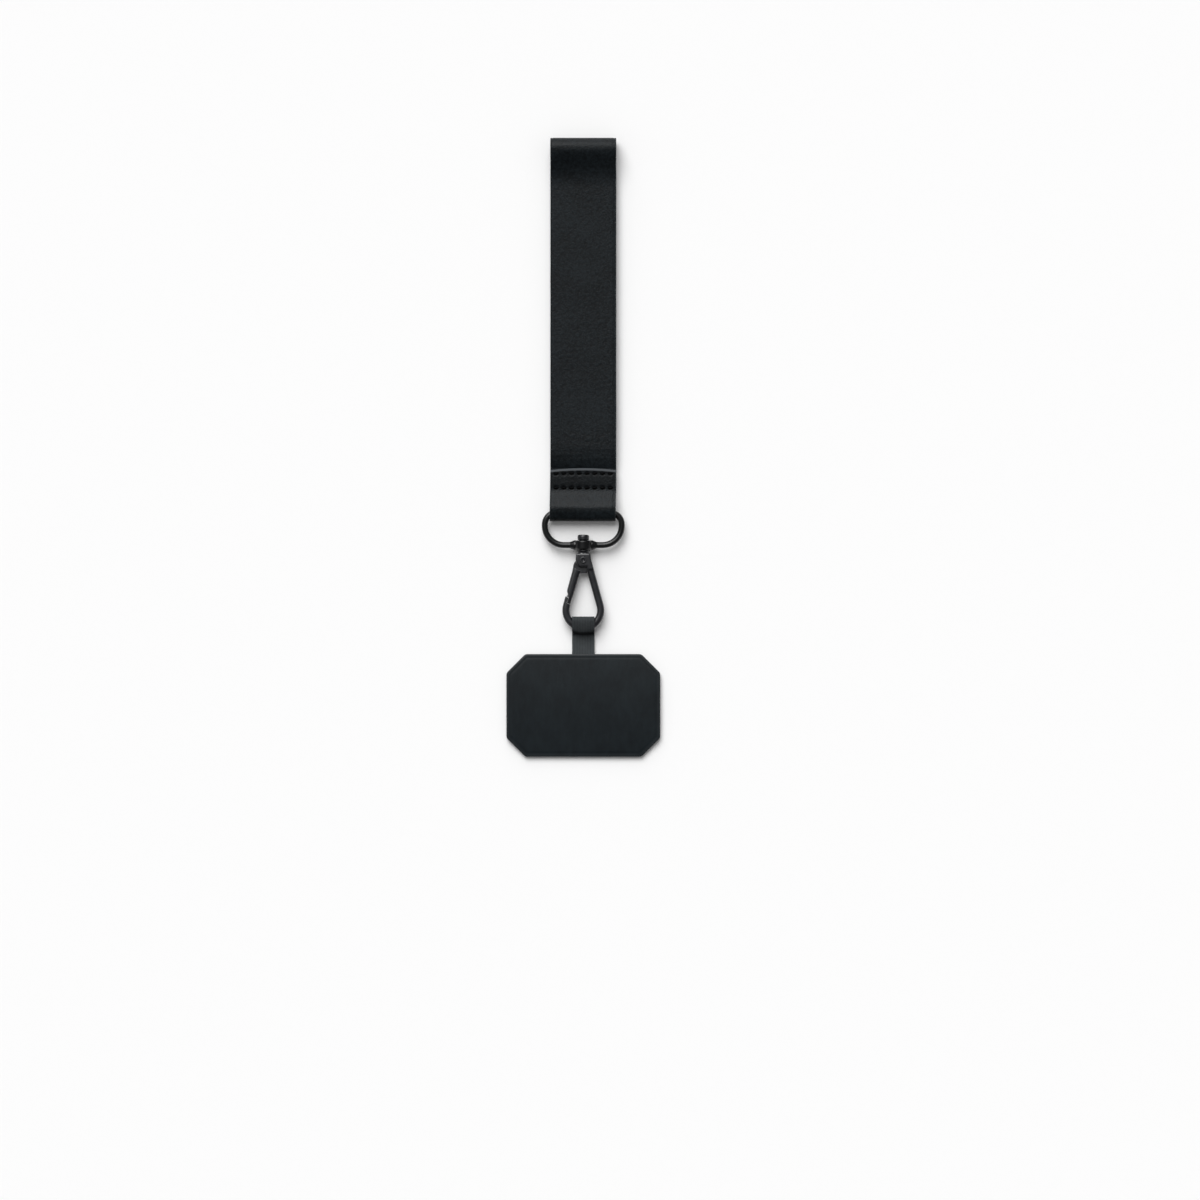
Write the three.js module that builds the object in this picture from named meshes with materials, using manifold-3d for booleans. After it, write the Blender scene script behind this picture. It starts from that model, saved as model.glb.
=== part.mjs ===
// Wrist lanyard: a folded strap sewn around a cast ring, a swivelling snap hook, and a thin tab on a tape.
//
// Millimetres. The lanyard lies flat on the plane z = 0 and is seen from +Z. Its long axis is Y: the
// strap's top fold is at +Y and the tab at -Y. X runs across the strap. Everything is first placed from
// the axis of the ring's upper bar (y = 0), and the whole is then shifted so that its box is centred.

import * as THREE from 'three';
import Module from 'manifold-3d';
import { mergeVertices } from 'three/addons/utils/BufferGeometryUtils.js';

// Strap: one tape, folded round the ring's bar and sewn through three layers

const STRAP_WIDTH = 25.5;
const STRAP_THICKNESS = 1.3;
const STRAP_EDGE_ROUNDING = 0.18;
const STRAP_REACH = 145.1;
const BAR_FOLD_INNER_RADIUS = 2.1;
const TOP_FOLD_OUTER_RADIUS = 4.0;
const TOP_BULGE_LENGTH = 9.6;
const LAYER_SPACING = 1.45;
const SEWN_LAYER_GAP = 0.05;
const TAIL_LENGTH_PAST_UPPER_ROW = 1.5;
const FRONT_END_PAST_LOWER_ROW = 2.3;
const DIVE_CLEARANCE = 1.1;
const DIVE_LENGTH = 5.1;
const FOLD_CREST_OFFSET = 2.6;

// Seam: two rows of running stitches

const LOWER_ROW_Y = 9.6;
const ROW_SPACING = 5.6;
const STITCH_PITCH = 3.0;
const STITCH_LENGTH = 1.9;
const STITCHES_PER_ROW = 8;
const THREAD_RADIUS = 0.3;
const THREAD_CLEARANCE = 0.06;
const THREAD_BEND = 0.25;

// Ring with the swivel boss

const RING_WIRE_RADIUS = 1.2;
const RING_SIDE_CLEARANCE = 0.95;
const RING_DROP = 12.6;
const RING_UPPER_CORNER = 4.6;
const RING_LOWER_CORNER = 7.5;
const BOSS_RADIUS = 3.4;
const BOSS_LENGTH = 3.65;
const BOSS_CHAMFER = 0.35;
const LUG_HALF_WIDTH = 4.83;
const LUG_SHOULDER = 3.6;
const LUG_RADIUS = 1.82;

// Swivel post on the hook

const POST_RADIUS = 1.5;
const POST_CLEARANCE = 0.1;
const POST_END_PLAY = 0.15;
const POST_HEAD_RADIUS = 2.25;
const POST_HEAD_LENGTH = 2.05;
const POST_DIMPLE_RADIUS = 1.1;
const POST_DIMPLE_DEPTH = 0.45;
const COLLAR_RADIUS = 2.7;
const COLLAR_LENGTH = 0.5;
const NECK_RADIUS = 2.2;
const NECK_LENGTH = 0.65;

// Hook: a flat head with two cheeks, and a J-shaped leg that ends in a nose

const HEAD_RISE = 2.7;
const HEAD_THICKNESS = 4.6;
const HEAD_BEVEL = 0.55;
const HEAD_TOP_CORNER = 0.8;
const HEAD_TOP_HALF_WIDTH = 2.81;
const HEAD_SHOULDER_HALF_WIDTH = 3.05;
const CHEEK_RADIUS = 2.95;
const CHEEK_LOWER_EDGE = 2.62;
const HOOK_WIDTH = 2.8;
const HOOK_THICKNESS = 3.4;
const HOOK_BEVEL = 1.1;
const HOOK_OUTER_RADIUS = 8.15;
const HOOK_REACH = 19.4;
const LEG_ANGLE = 15.4;
const NOSE_TOP_RADIUS = 15.6;
const TONGUE_ANGLE = 21.3;

// Gate: a lever on a rivet, closed by a small torsion spring

const GATE_TIP_RADIUS = 17.6;
const GATE_CLEARANCE = 0.3;
const GATE_SEAT_ANGLE = 0.7;
const GATE_OPEN_ANGLE = 22;
const GATE_SWEEP_MARGIN = 2;
const GATE_ROOT_WIDTH = 3.1;
const GATE_SHOULDER_RADIUS = 4.5;
const KNUCKLE_THICKNESS = 1.5;
const KNUCKLE_HUB_RADIUS = 1.85;
const KNUCKLE_REACH = 5.0;
const KNUCKLE_TOE = 1.35;
const RIVET_RADIUS = 0.85;
const RIVET_CLEARANCE = 0.08;
const RIVET_HEAD_RADIUS = 1.42;
const RIVET_HEAD_HEIGHT = 0.32;
const RIVET_DIMPLE_RADIUS = 0.75;
const RIVET_DIMPLE_DEPTH = 0.3;
const SPRING_WIRE_RADIUS = 0.14;
const SPRING_COIL_RADIUS = 1.2;
const SPRING_PITCH = 0.3;
const SPRING_TURNS = 2.25;
const SPRING_TANG = 1.35;

// Tab: a woven tape looped over the hook, bonded between two thin sheets

const TAPE_WIDTH = 8.7;
const TAPE_THICKNESS = 0.45;
const TAPE_LOOP_CLEARANCE = 0.25;
const TAPE_DEPTH_IN_PAD = 22;
const PAD_WIDTH = 59.6;
const PAD_LENGTH = 39.8;
const PAD_CORNER_CUT = 7.3;
const PAD_SHEET_THICKNESS = 0.85;
const PAD_EDGE_ROUNDING = 0.15;
const PAD_BELOW_HOOK = 8.85;
const PAD_POCKET_CLEARANCE = 0.1;

// Sizes that follow from the ones above

const radians = THREE.MathUtils.degToRad;
const threadHoleRadius = THREAD_RADIUS + THREAD_CLEARANCE;
const barFoldRadius = BAR_FOLD_INNER_RADIUS + STRAP_THICKNESS / 2;
const planeZ = Math.max(
  BAR_FOLD_INNER_RADIUS + STRAP_THICKNESS,
  BOSS_RADIUS,
  HEAD_THICKNESS / 2 + RIVET_HEAD_HEIGHT,
);
const backLayerZ = planeZ - barFoldRadius;
const strapFloorZ = backLayerZ - STRAP_THICKNESS / 2;
const frontEndZ = backLayerZ + STRAP_THICKNESS + SEWN_LAYER_GAP;
const tailZ = frontEndZ + STRAP_THICKNESS + SEWN_LAYER_GAP;
const frontLayerZ = backLayerZ + STRAP_THICKNESS + LAYER_SPACING;
const upperRowY = LOWER_ROW_Y + ROW_SPACING;
const tailEndY = upperRowY + TAIL_LENGTH_PAST_UPPER_ROW;
const frontEndY = LOWER_ROW_Y - FRONT_END_PAST_LOWER_ROW;
const diveEndY = tailEndY + DIVE_CLEARANCE;
const topFoldRadius = TOP_FOLD_OUTER_RADIUS - STRAP_THICKNESS / 2;
const topFoldY = STRAP_REACH - TOP_FOLD_OUTER_RADIUS;
const ringHalfWidth = STRAP_WIDTH / 2 + RING_SIDE_CLEARANCE + RING_WIRE_RADIUS;
const boreRadius = POST_RADIUS + POST_CLEARANCE;
const bossTopY = -RING_DROP + BOSS_LENGTH / 2;
const bossBottomY = -RING_DROP - BOSS_LENGTH / 2;
const headTopY = bossBottomY - POST_END_PLAY - COLLAR_LENGTH - NECK_LENGTH;
const rivetY = headTopY - HEAD_RISE;
const hookInnerRadius = HOOK_OUTER_RADIUS - HOOK_WIDTH;
const pocketThickness = KNUCKLE_THICKNESS + 2 * GATE_CLEARANCE;
const pocketHubRadius = KNUCKLE_HUB_RADIUS + GATE_CLEARANCE;
const knuckleCornerRadius = Math.hypot(KNUCKLE_TOE, KNUCKLE_REACH);
const knuckleCornerAngle = THREE.MathUtils.radToDeg(Math.atan2(KNUCKLE_TOE, KNUCKLE_REACH));
const hookBottomY = rivetY - HOOK_REACH - HOOK_OUTER_RADIUS;
const padTopY = hookBottomY - PAD_BELOW_HOOK;
const padBottomY = padTopY - PAD_LENGTH;

const wasm = await Module();
wasm.setup();

// A closed mesh with shared corners, as the solid that cuts and joins work on
function toSolid(geometry) {
  const bare = geometry.index ? geometry.toNonIndexed() : geometry.clone();
  bare.deleteAttribute('normal');
  bare.deleteAttribute('uv');
  const merged = mergeVertices(bare, 1e-4);
  const index = merged.index.array;
  const triangles = [];
  for (let i = 0; i < index.length; i += 3) {
    const [a, b, c] = [index[i], index[i + 1], index[i + 2]];
    if (a !== b && b !== c && c !== a) {
      triangles.push(a, b, c);
    }
  }
  const mesh = new wasm.Mesh({
    numProp: 3,
    vertProperties: new Float32Array(merged.attributes.position.array),
    triVerts: new Uint32Array(triangles),
  });
  return new wasm.Manifold(mesh);
}

// The solid's corners and triangles as a three.js geometry
function toGeometry(solid) {
  const mesh = solid.getMesh();
  const geometry = new THREE.BufferGeometry();
  geometry.setAttribute('position', new THREE.BufferAttribute(new Float32Array(mesh.vertProperties), 3));
  geometry.setIndex(new THREE.BufferAttribute(new Uint32Array(mesh.triVerts), 1));
  geometry.computeVertexNormals();
  return geometry;
}

// A curve through given stations, with one section of a sweep at each of them
class StationCurve extends THREE.Curve {
  constructor(stations) {
    super();
    this.stations = stations;
  }

  getPoint(t, target = new THREE.Vector3()) {
    const place = THREE.MathUtils.clamp(t, 0, 1) * (this.stations.length - 1);
    const index = Math.min(Math.floor(place), this.stations.length - 2);
    return target.lerpVectors(this.stations[index], this.stations[index + 1], place - index);
  }

  getPointAt(u, target) {
    return this.getPoint(u, target);
  }

  getTangentAt(u, target) {
    return this.getTangent(u, target);
  }
}

function roundWire(stations, radius, sides) {
  const section = new THREE.Shape();
  section.absarc(0, 0, radius, 0, 2 * Math.PI, false);
  return new THREE.ExtrudeGeometry(section, {
    curveSegments: sides / 2,
    steps: stations.length - 1,
    extrudePath: new StationCurve(stations),
  });
}

// A flat outline in X and Y, thickened about z = 0, with rounded edges
function plate(shape, thickness, bevel = 0, curveSegments = 12, bevelSegments = 3) {
  const geometry = new THREE.ExtrudeGeometry(shape, {
    depth: thickness - 2 * bevel,
    bevelEnabled: bevel > 0,
    bevelThickness: bevel,
    bevelSize: bevel,
    bevelOffset: -bevel,
    bevelSegments,
    curveSegments,
  });
  return geometry.translate(0, 0, bevel - thickness / 2);
}

// An outline drawn in Y (across) and Z (up), thickened along X about x = 0
function sidePlate(shape, width, bevel = 0, curveSegments = 12, bevelSegments = 2) {
  const turn = new THREE.Matrix4().makeBasis(
    new THREE.Vector3(0, 1, 0),
    new THREE.Vector3(0, 0, 1),
    new THREE.Vector3(1, 0, 0),
  );
  return plate(shape, width, bevel, curveSegments, bevelSegments).applyMatrix4(turn);
}

function polygon(points) {
  return new THREE.Shape(points.map(([x, y]) => new THREE.Vector2(x, y)));
}

// A turned solid about the Y axis: the profile lists [radius, y] from its lower end on the axis upwards
function turned(profile, sides) {
  return new THREE.LatheGeometry(profile.map(([r, y]) => new THREE.Vector2(r, y)), sides);
}

// Points along an arc, with angles in degrees counted from +X towards +Y
function arcPoints(centreX, centreY, radius, from, to, steps) {
  const points = [];
  for (let i = 0; i <= steps; i += 1) {
    const angle = radians(from + ((to - from) * i) / steps);
    points.push([centreX + radius * Math.cos(angle), centreY + radius * Math.sin(angle)]);
  }
  return points;
}

// Points at a distance from the rivet, with angles in degrees counted from straight down towards +X
function arcAboutRivet(radius, from, to, steps) {
  return arcPoints(0, 0, radius, from - 90, to - 90, steps);
}

// Strap

// The tape's middle line in Y and Z, from the cut tail over the bar, along the back, round the top
// fold and down the front to the end that is sewn in under the tail
function strapRuns() {
  const crestZ = planeZ + barFoldRadius;
  const tailRiseY = LOWER_ROW_Y - 1.2;
  const topZ = backLayerZ + 2 * topFoldRadius;
  const bulgeEndY = topFoldY - TOP_BULGE_LENGTH;
  const diveStartY = diveEndY + DIVE_LENGTH;
  const point = (y, z) => new THREE.Vector2(y, z);
  const sCurve = (y0, z0, y1, z1, lead) => new THREE.CubicBezierCurve(
    point(y0, z0),
    point(y0 + (y1 - y0) * lead, z0),
    point(y1 - (y1 - y0) * lead, z1),
    point(y1, z1),
  );
  const fold = new THREE.EllipseCurve(
    0, planeZ, barFoldRadius, barFoldRadius, Math.PI / 2, 1.5 * Math.PI, false,
  );
  const top = new THREE.EllipseCurve(
    topFoldY, backLayerZ + topFoldRadius, topFoldRadius, topFoldRadius, -Math.PI / 2, Math.PI / 2, false,
  );
  return [
    [new THREE.LineCurve(point(tailEndY, tailZ), point(tailRiseY, tailZ)), 1],
    [sCurve(tailRiseY, tailZ, FOLD_CREST_OFFSET, crestZ, 0.42), 8],
    [new THREE.LineCurve(point(FOLD_CREST_OFFSET, crestZ), point(0, crestZ)), 1],
    [fold, 16],
    [new THREE.LineCurve(point(0, backLayerZ), point(topFoldY, backLayerZ)), 1],
    [top, 18],
    [sCurve(topFoldY, topZ, bulgeEndY, frontLayerZ, 0.45), 10],
    [new THREE.LineCurve(point(bulgeEndY, frontLayerZ), point(diveStartY, frontLayerZ)), 1],
    [sCurve(diveStartY, frontLayerZ, diveEndY, frontEndZ, 0.42), 7],
    [new THREE.LineCurve(point(diveEndY, frontEndZ), point(frontEndY, frontEndZ)), 1],
  ];
}

// The outline of a tape of even thickness that follows a chain of curves
function tapeOutline(runs, thickness) {
  const left = [];
  const right = [];
  runs.forEach(([curve, divisions], run) => {
    for (let i = run === 0 ? 0 : 1; i <= divisions; i += 1) {
      const middle = curve.getPoint(i / divisions);
      const along = curve.getTangent(i / divisions);
      const across = new THREE.Vector2(-along.y, along.x).multiplyScalar(thickness / 2);
      left.push(middle.clone().add(across));
      right.push(middle.clone().sub(across));
    }
  });
  return new THREE.Shape([...left, ...right.reverse()]);
}

// One row of running stitches: along the top of the tail, down through the layers, along the underside
function stitchStations(rowY) {
  const topZ = tailZ + STRAP_THICKNESS / 2 + 0.05;
  const lowZ = strapFloorZ + THREAD_RADIUS + 0.02;
  const half = STITCH_LENGTH / 2;
  const nextStart = STITCH_PITCH - half;
  const stations = [];
  const add = (x, z) => stations.push(new THREE.Vector3(x, rowY, z));
  for (let i = 0; i < STITCHES_PER_ROW; i += 1) {
    const centre = (i - (STITCHES_PER_ROW - 1) / 2) * STITCH_PITCH;
    if (i === 0) {
      add(centre - half, frontEndZ);
      add(centre - half, topZ - THREAD_BEND);
    }
    add(centre - half + THREAD_BEND, topZ);
    add(centre + half - THREAD_BEND, topZ);
    add(centre + half, topZ - THREAD_BEND);
    if (i === STITCHES_PER_ROW - 1) {
      add(centre + half, frontEndZ);
    } else {
      add(centre + half, lowZ + THREAD_BEND);
      add(centre + half + THREAD_BEND, lowZ);
      add(centre + nextStart - THREAD_BEND, lowZ);
      add(centre + nextStart, lowZ + THREAD_BEND);
      add(centre + nextStart, topZ - THREAD_BEND);
    }
  }
  return stations;
}

function strapGeometry() {
  const outline = tapeOutline(strapRuns(), STRAP_THICKNESS);
  let strap = toSolid(sidePlate(outline, STRAP_WIDTH, STRAP_EDGE_ROUNDING));
  for (const rowY of [LOWER_ROW_Y, upperRowY]) {
    strap = strap.subtract(toSolid(roundWire(stitchStations(rowY), threadHoleRadius, 6)));
  }
  return toGeometry(strap);
}

// Ring

function ringGeometry() {
  const upperX = ringHalfWidth - RING_UPPER_CORNER;
  const lowerX = ringHalfWidth - RING_LOWER_CORNER;
  const endX = (boreRadius + BOSS_RADIUS) / 2;
  const lowerY = -RING_DROP + RING_LOWER_CORNER;
  const stations = [
    [-endX, -RING_DROP],
    ...arcPoints(-lowerX, lowerY, RING_LOWER_CORNER, 270, 180, 10),
    ...arcPoints(-upperX, -RING_UPPER_CORNER, RING_UPPER_CORNER, 180, 90, 8),
    ...arcPoints(upperX, -RING_UPPER_CORNER, RING_UPPER_CORNER, 90, 0, 8),
    ...arcPoints(lowerX, lowerY, RING_LOWER_CORNER, 0, -90, 10),
    [endX, -RING_DROP],
  ].map(([x, y]) => new THREE.Vector3(x, y, 0));
  const wire = toSolid(roundWire(stations, RING_WIRE_RADIUS, 16));
  const half = BOSS_LENGTH / 2;
  const barrel = toSolid(turned([
    [0, -half],
    [BOSS_RADIUS - BOSS_CHAMFER, -half],
    [BOSS_RADIUS, -half + BOSS_CHAMFER],
    [BOSS_RADIUS, half - BOSS_CHAMFER],
    [BOSS_RADIUS - BOSS_CHAMFER, half],
    [0, half],
  ], 32).translate(0, -RING_DROP, 0));
  const lugs = toSolid(turned([
    [0, -LUG_HALF_WIDTH],
    [RING_WIRE_RADIUS + 0.1, -LUG_HALF_WIDTH],
    [LUG_RADIUS, -LUG_SHOULDER],
    [LUG_RADIUS, LUG_SHOULDER],
    [RING_WIRE_RADIUS + 0.1, LUG_HALF_WIDTH],
    [0, LUG_HALF_WIDTH],
  ], 20).rotateZ(-Math.PI / 2).translate(0, -RING_DROP, 0));
  const bore = toSolid(new THREE.CylinderGeometry(boreRadius, boreRadius, BOSS_LENGTH + 2, 28)
    .translate(0, -RING_DROP, 0));
  return toGeometry(wire.add(barrel).add(lugs).subtract(bore));
}

// Hook: its own zero is the rivet's axis, in the middle of its thickness

// The leg's outer edge is a line at LEG_ANGLE that touches the bottom bend, on either side
function legOuterX(y) {
  const touchX = HOOK_OUTER_RADIUS * Math.cos(radians(LEG_ANGLE));
  const touchY = -HOOK_REACH + HOOK_OUTER_RADIUS * Math.sin(radians(LEG_ANGLE));
  return touchX - (y - touchY) * Math.tan(radians(LEG_ANGLE));
}

function jLegShape() {
  const lean = LEG_ANGLE;
  const across = HOOK_WIDTH / Math.cos(radians(lean));
  const legTopY = -1.6;
  const noseY = -NOSE_TOP_RADIUS * Math.cos(radians(TONGUE_ANGLE)) + 2;
  return polygon([
    [legOuterX(legTopY), legTopY],
    [legOuterX(legTopY) - across, legTopY],
    ...arcPoints(0, -HOOK_REACH, hookInnerRadius, lean, -180 - lean, 26),
    [-(legOuterX(noseY) - across), noseY],
    [-legOuterX(noseY), noseY],
    ...arcPoints(0, -HOOK_REACH, HOOK_OUTER_RADIUS, -180 - lean, lean, 30),
  ]);
}

function headShape() {
  const top = HEAD_RISE;
  const corner = HEAD_TOP_CORNER;
  const footY = -CHEEK_LOWER_EDGE - 1.2;
  const shape = new THREE.Shape();
  shape.moveTo(-HEAD_TOP_HALF_WIDTH + corner, top);
  shape.quadraticCurveTo(-HEAD_TOP_HALF_WIDTH, top, -HEAD_TOP_HALF_WIDTH, top - corner);
  shape.lineTo(-HEAD_SHOULDER_HALF_WIDTH, 0.1);
  for (const [x, y] of arcAboutRivet(CHEEK_RADIUS, -80, -28, 8)) {
    shape.lineTo(x, y);
  }
  shape.lineTo(KNUCKLE_TOE, -CHEEK_LOWER_EDGE);
  shape.lineTo(legOuterX(footY) - HOOK_WIDTH, footY);
  shape.lineTo(legOuterX(footY), footY);
  shape.lineTo(Math.max(legOuterX(-1.9), CHEEK_RADIUS + 0.55), -1.9);
  shape.lineTo(Math.max(legOuterX(-0.8), CHEEK_RADIUS + 0.35), -0.8);
  shape.lineTo(HEAD_SHOULDER_HALF_WIDTH, 0.4);
  shape.lineTo(HEAD_TOP_HALF_WIDTH, top - corner);
  shape.quadraticCurveTo(HEAD_TOP_HALF_WIDTH, top, HEAD_TOP_HALF_WIDTH - corner, top);
  return shape;
}

// The hollow between the cheeks: the knuckle's outline at every angle of the gate, with its clearance
function pocketSolid() {
  const reach = knuckleCornerRadius + GATE_CLEARANCE;
  const openAngle = knuckleCornerAngle + GATE_OPEN_ANGLE + GATE_SWEEP_MARGIN;
  const slant = pocketHubRadius * Math.SQRT1_2;
  const sweep = polygon([
    [pocketHubRadius, 0.2],
    ...arcAboutRivet(reach, openAngle, -68, 16),
    [-slant - 2.6, slant - 2.6],
    [-slant, slant],
  ]);
  const hub = new THREE.CylinderGeometry(pocketHubRadius, pocketHubRadius, pocketThickness, 32)
    .rotateX(Math.PI / 2);
  return toSolid(plate(sweep, pocketThickness)).add(toSolid(hub));
}

// What the gate's tip sweeps: the nose keeps a thin tongue outside it and a ledge below it
function noseCutSolid() {
  const ledge = GATE_TIP_RADIUS + GATE_CLEARANCE;
  const inside = polygon([
    ...arcAboutRivet(ledge, -TONGUE_ANGLE, -2, 8),
    ...arcAboutRivet(8, -2, -TONGUE_ANGLE, 2),
  ]);
  const above = polygon([
    ...arcAboutRivet(NOSE_TOP_RADIUS, -50, -2, 12),
    ...arcAboutRivet(8, -2, -50, 2),
  ]);
  const depth = 2 * HOOK_THICKNESS;
  return toSolid(plate(inside, depth)).add(toSolid(plate(above, depth)));
}

function postSolid() {
  const head = bossTopY + POST_END_PLAY - rivetY;
  const collar = bossBottomY - POST_END_PLAY - rivetY;
  const neckTop = collar - COLLAR_LENGTH;
  const root = pocketHubRadius + (HEAD_RISE - pocketHubRadius) / 2;
  return toSolid(turned([
    [0, root],
    [NECK_RADIUS - 0.2, root],
    [NECK_RADIUS, HEAD_RISE],
    [NECK_RADIUS, neckTop],
    [COLLAR_RADIUS - 0.15, neckTop],
    [COLLAR_RADIUS, neckTop + 0.15],
    [COLLAR_RADIUS, collar - 0.1],
    [COLLAR_RADIUS - 0.1, collar],
    [POST_RADIUS, collar],
    [POST_RADIUS, head],
    [POST_HEAD_RADIUS - 0.15, head],
    [POST_HEAD_RADIUS, head + 0.15],
    [POST_HEAD_RADIUS, head + POST_HEAD_LENGTH - 0.7],
    [POST_HEAD_RADIUS - 0.15, head + POST_HEAD_LENGTH - 0.25],
    [POST_HEAD_RADIUS - 0.5, head + POST_HEAD_LENGTH],
    [POST_DIMPLE_RADIUS, head + POST_HEAD_LENGTH],
    [POST_DIMPLE_RADIUS * 0.7, head + POST_HEAD_LENGTH - POST_DIMPLE_DEPTH],
    [0, head + POST_HEAD_LENGTH - POST_DIMPLE_DEPTH],
  ], 28));
}

function hookGeometry() {
  const leg = toSolid(plate(jLegShape(), HOOK_THICKNESS, HOOK_BEVEL, 26));
  const head = toSolid(plate(headShape(), HEAD_THICKNESS, HEAD_BEVEL, 6, 2));
  const rivetHole = RIVET_RADIUS + RIVET_CLEARANCE;
  const hole = toSolid(new THREE.CylinderGeometry(rivetHole, rivetHole, HEAD_THICKNESS + 2, 24)
    .rotateX(Math.PI / 2));
  return toGeometry(leg
    .add(head)
    .add(postSolid())
    .subtract(pocketSolid())
    .subtract(noseCutSolid())
    .subtract(hole));
}

function rivetGeometry() {
  const seat = HEAD_THICKNESS / 2 + 0.02;
  const top = seat + RIVET_HEAD_HEIGHT;
  const head = [
    [RIVET_HEAD_RADIUS, seat],
    [RIVET_HEAD_RADIUS, seat + RIVET_HEAD_HEIGHT * 0.4],
    [RIVET_HEAD_RADIUS - 0.2, top],
    [RIVET_DIMPLE_RADIUS, top],
    [RIVET_DIMPLE_RADIUS * 0.6, top - RIVET_DIMPLE_DEPTH],
    [0, top - RIVET_DIMPLE_DEPTH],
  ];
  const lower = head.map(([r, y]) => [r, -y]).reverse();
  return turned([...lower, [RIVET_RADIUS, -seat], [RIVET_RADIUS, seat], ...head], 24)
    .rotateX(Math.PI / 2);
}

function gateGeometry() {
  const rootY = -2.2;
  const tipY = -GATE_TIP_RADIUS * Math.cos(radians(TONGUE_ANGLE)) - 1.6;
  const tipAcross = HOOK_WIDTH / Math.cos(radians(LEG_ANGLE));
  const arm = toSolid(plate(polygon([
    [-legOuterX(rootY), rootY],
    [-legOuterX(tipY), tipY],
    [-legOuterX(tipY) + tipAcross, tipY],
    [-legOuterX(-KNUCKLE_REACH) + GATE_ROOT_WIDTH, -KNUCKLE_REACH],
    [-legOuterX(rootY) + GATE_ROOT_WIDTH, rootY],
  ]), HOOK_THICKNESS, HOOK_BEVEL));
  const depth = 2 * HOOK_THICKNESS;
  const keep = toSolid(plate(polygon([
    ...arcAboutRivet(GATE_TIP_RADIUS, -50, 10, 16),
    ...arcAboutRivet(GATE_SHOULDER_RADIUS, 10, -75, 12),
  ]), depth));
  const tongueRoom = toSolid(plate(polygon([
    ...arcAboutRivet(GATE_TIP_RADIUS + 2, -50, -TONGUE_ANGLE + GATE_SEAT_ANGLE, 6),
    ...arcAboutRivet(NOSE_TOP_RADIUS - GATE_CLEARANCE, -TONGUE_ANGLE + GATE_SEAT_ANGLE, -50, 6),
  ]), depth));
  const slant = KNUCKLE_HUB_RADIUS * Math.SQRT1_2;
  const sideY = -0.75;
  const knuckle = toSolid(plate(polygon([
    [-slant, slant],
    [-slant + (sideY - slant), sideY],
    [-legOuterX(-1.9) - 0.2, -1.9],
    [-legOuterX(-3.1) - 0.08, -3.1],
    [-legOuterX(-4.4), -4.4],
    [-legOuterX(-KNUCKLE_REACH) + 0.9, -KNUCKLE_REACH - 0.5],
    [-legOuterX(-KNUCKLE_REACH) + GATE_ROOT_WIDTH - 0.3, -KNUCKLE_REACH],
    [KNUCKLE_TOE, -KNUCKLE_REACH],
    [KNUCKLE_HUB_RADIUS, 0],
  ]), KNUCKLE_THICKNESS));
  const hub = toSolid(new THREE.CylinderGeometry(
    KNUCKLE_HUB_RADIUS, KNUCKLE_HUB_RADIUS, KNUCKLE_THICKNESS, 32,
  ).rotateX(Math.PI / 2));
  const holeRadius = RIVET_RADIUS + RIVET_CLEARANCE;
  const hole = toSolid(new THREE.CylinderGeometry(holeRadius, holeRadius, KNUCKLE_THICKNESS + 2, 24)
    .rotateX(Math.PI / 2));
  const coilRoom = KNUCKLE_HUB_RADIUS + 0.01;
  const coilFloor = -0.05;
  const counterbore = toSolid(new THREE.CylinderGeometry(coilRoom, coilRoom, KNUCKLE_THICKNESS, 32)
    .rotateX(Math.PI / 2)
    .translate(0, 0, coilFloor + KNUCKLE_THICKNESS / 2));
  const tangSlot = toSolid(new THREE.BoxGeometry(0.6, SPRING_TANG + 1.2, KNUCKLE_THICKNESS)
    .translate(-SPRING_COIL_RADIUS, -(SPRING_TANG + 1.2) / 2, coilFloor + KNUCKLE_THICKNESS / 2));
  return toGeometry(arm
    .intersect(keep)
    .subtract(tongueRoom)
    .add(knuckle)
    .add(hub)
    .subtract(hole)
    .subtract(counterbore)
    .subtract(tangSlot));
}

// The coil lies in the knuckle's counterbore: one tang in the gate's slot, one against the head
function springGeometry() {
  const lowZ = 0.1 + SPRING_WIRE_RADIUS;
  const stations = [];
  const steps = Math.round(SPRING_TURNS * 16);
  for (let i = 4; i >= 1; i -= 1) {
    stations.push(new THREE.Vector3(-SPRING_COIL_RADIUS, (-SPRING_TANG * i) / 4, lowZ));
  }
  for (let i = 0; i <= steps; i += 1) {
    const turn = Math.PI - (i / 16) * 2 * Math.PI;
    stations.push(new THREE.Vector3(
      SPRING_COIL_RADIUS * Math.cos(turn),
      SPRING_COIL_RADIUS * Math.sin(turn),
      lowZ + (SPRING_PITCH * i) / 16,
    ));
  }
  const last = stations[stations.length - 1];
  const before = stations[stations.length - 2];
  const along = last.clone().sub(before).setZ(0).normalize();
  for (let i = 1; i <= 3; i += 1) {
    stations.push(last.clone().addScaledVector(along, (SPRING_TANG * i) / 3));
  }
  return roundWire(stations, SPRING_WIRE_RADIUS, 6);
}

// Tab: its own zero in Y is the lowest point of the hook's bottom bend

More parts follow.
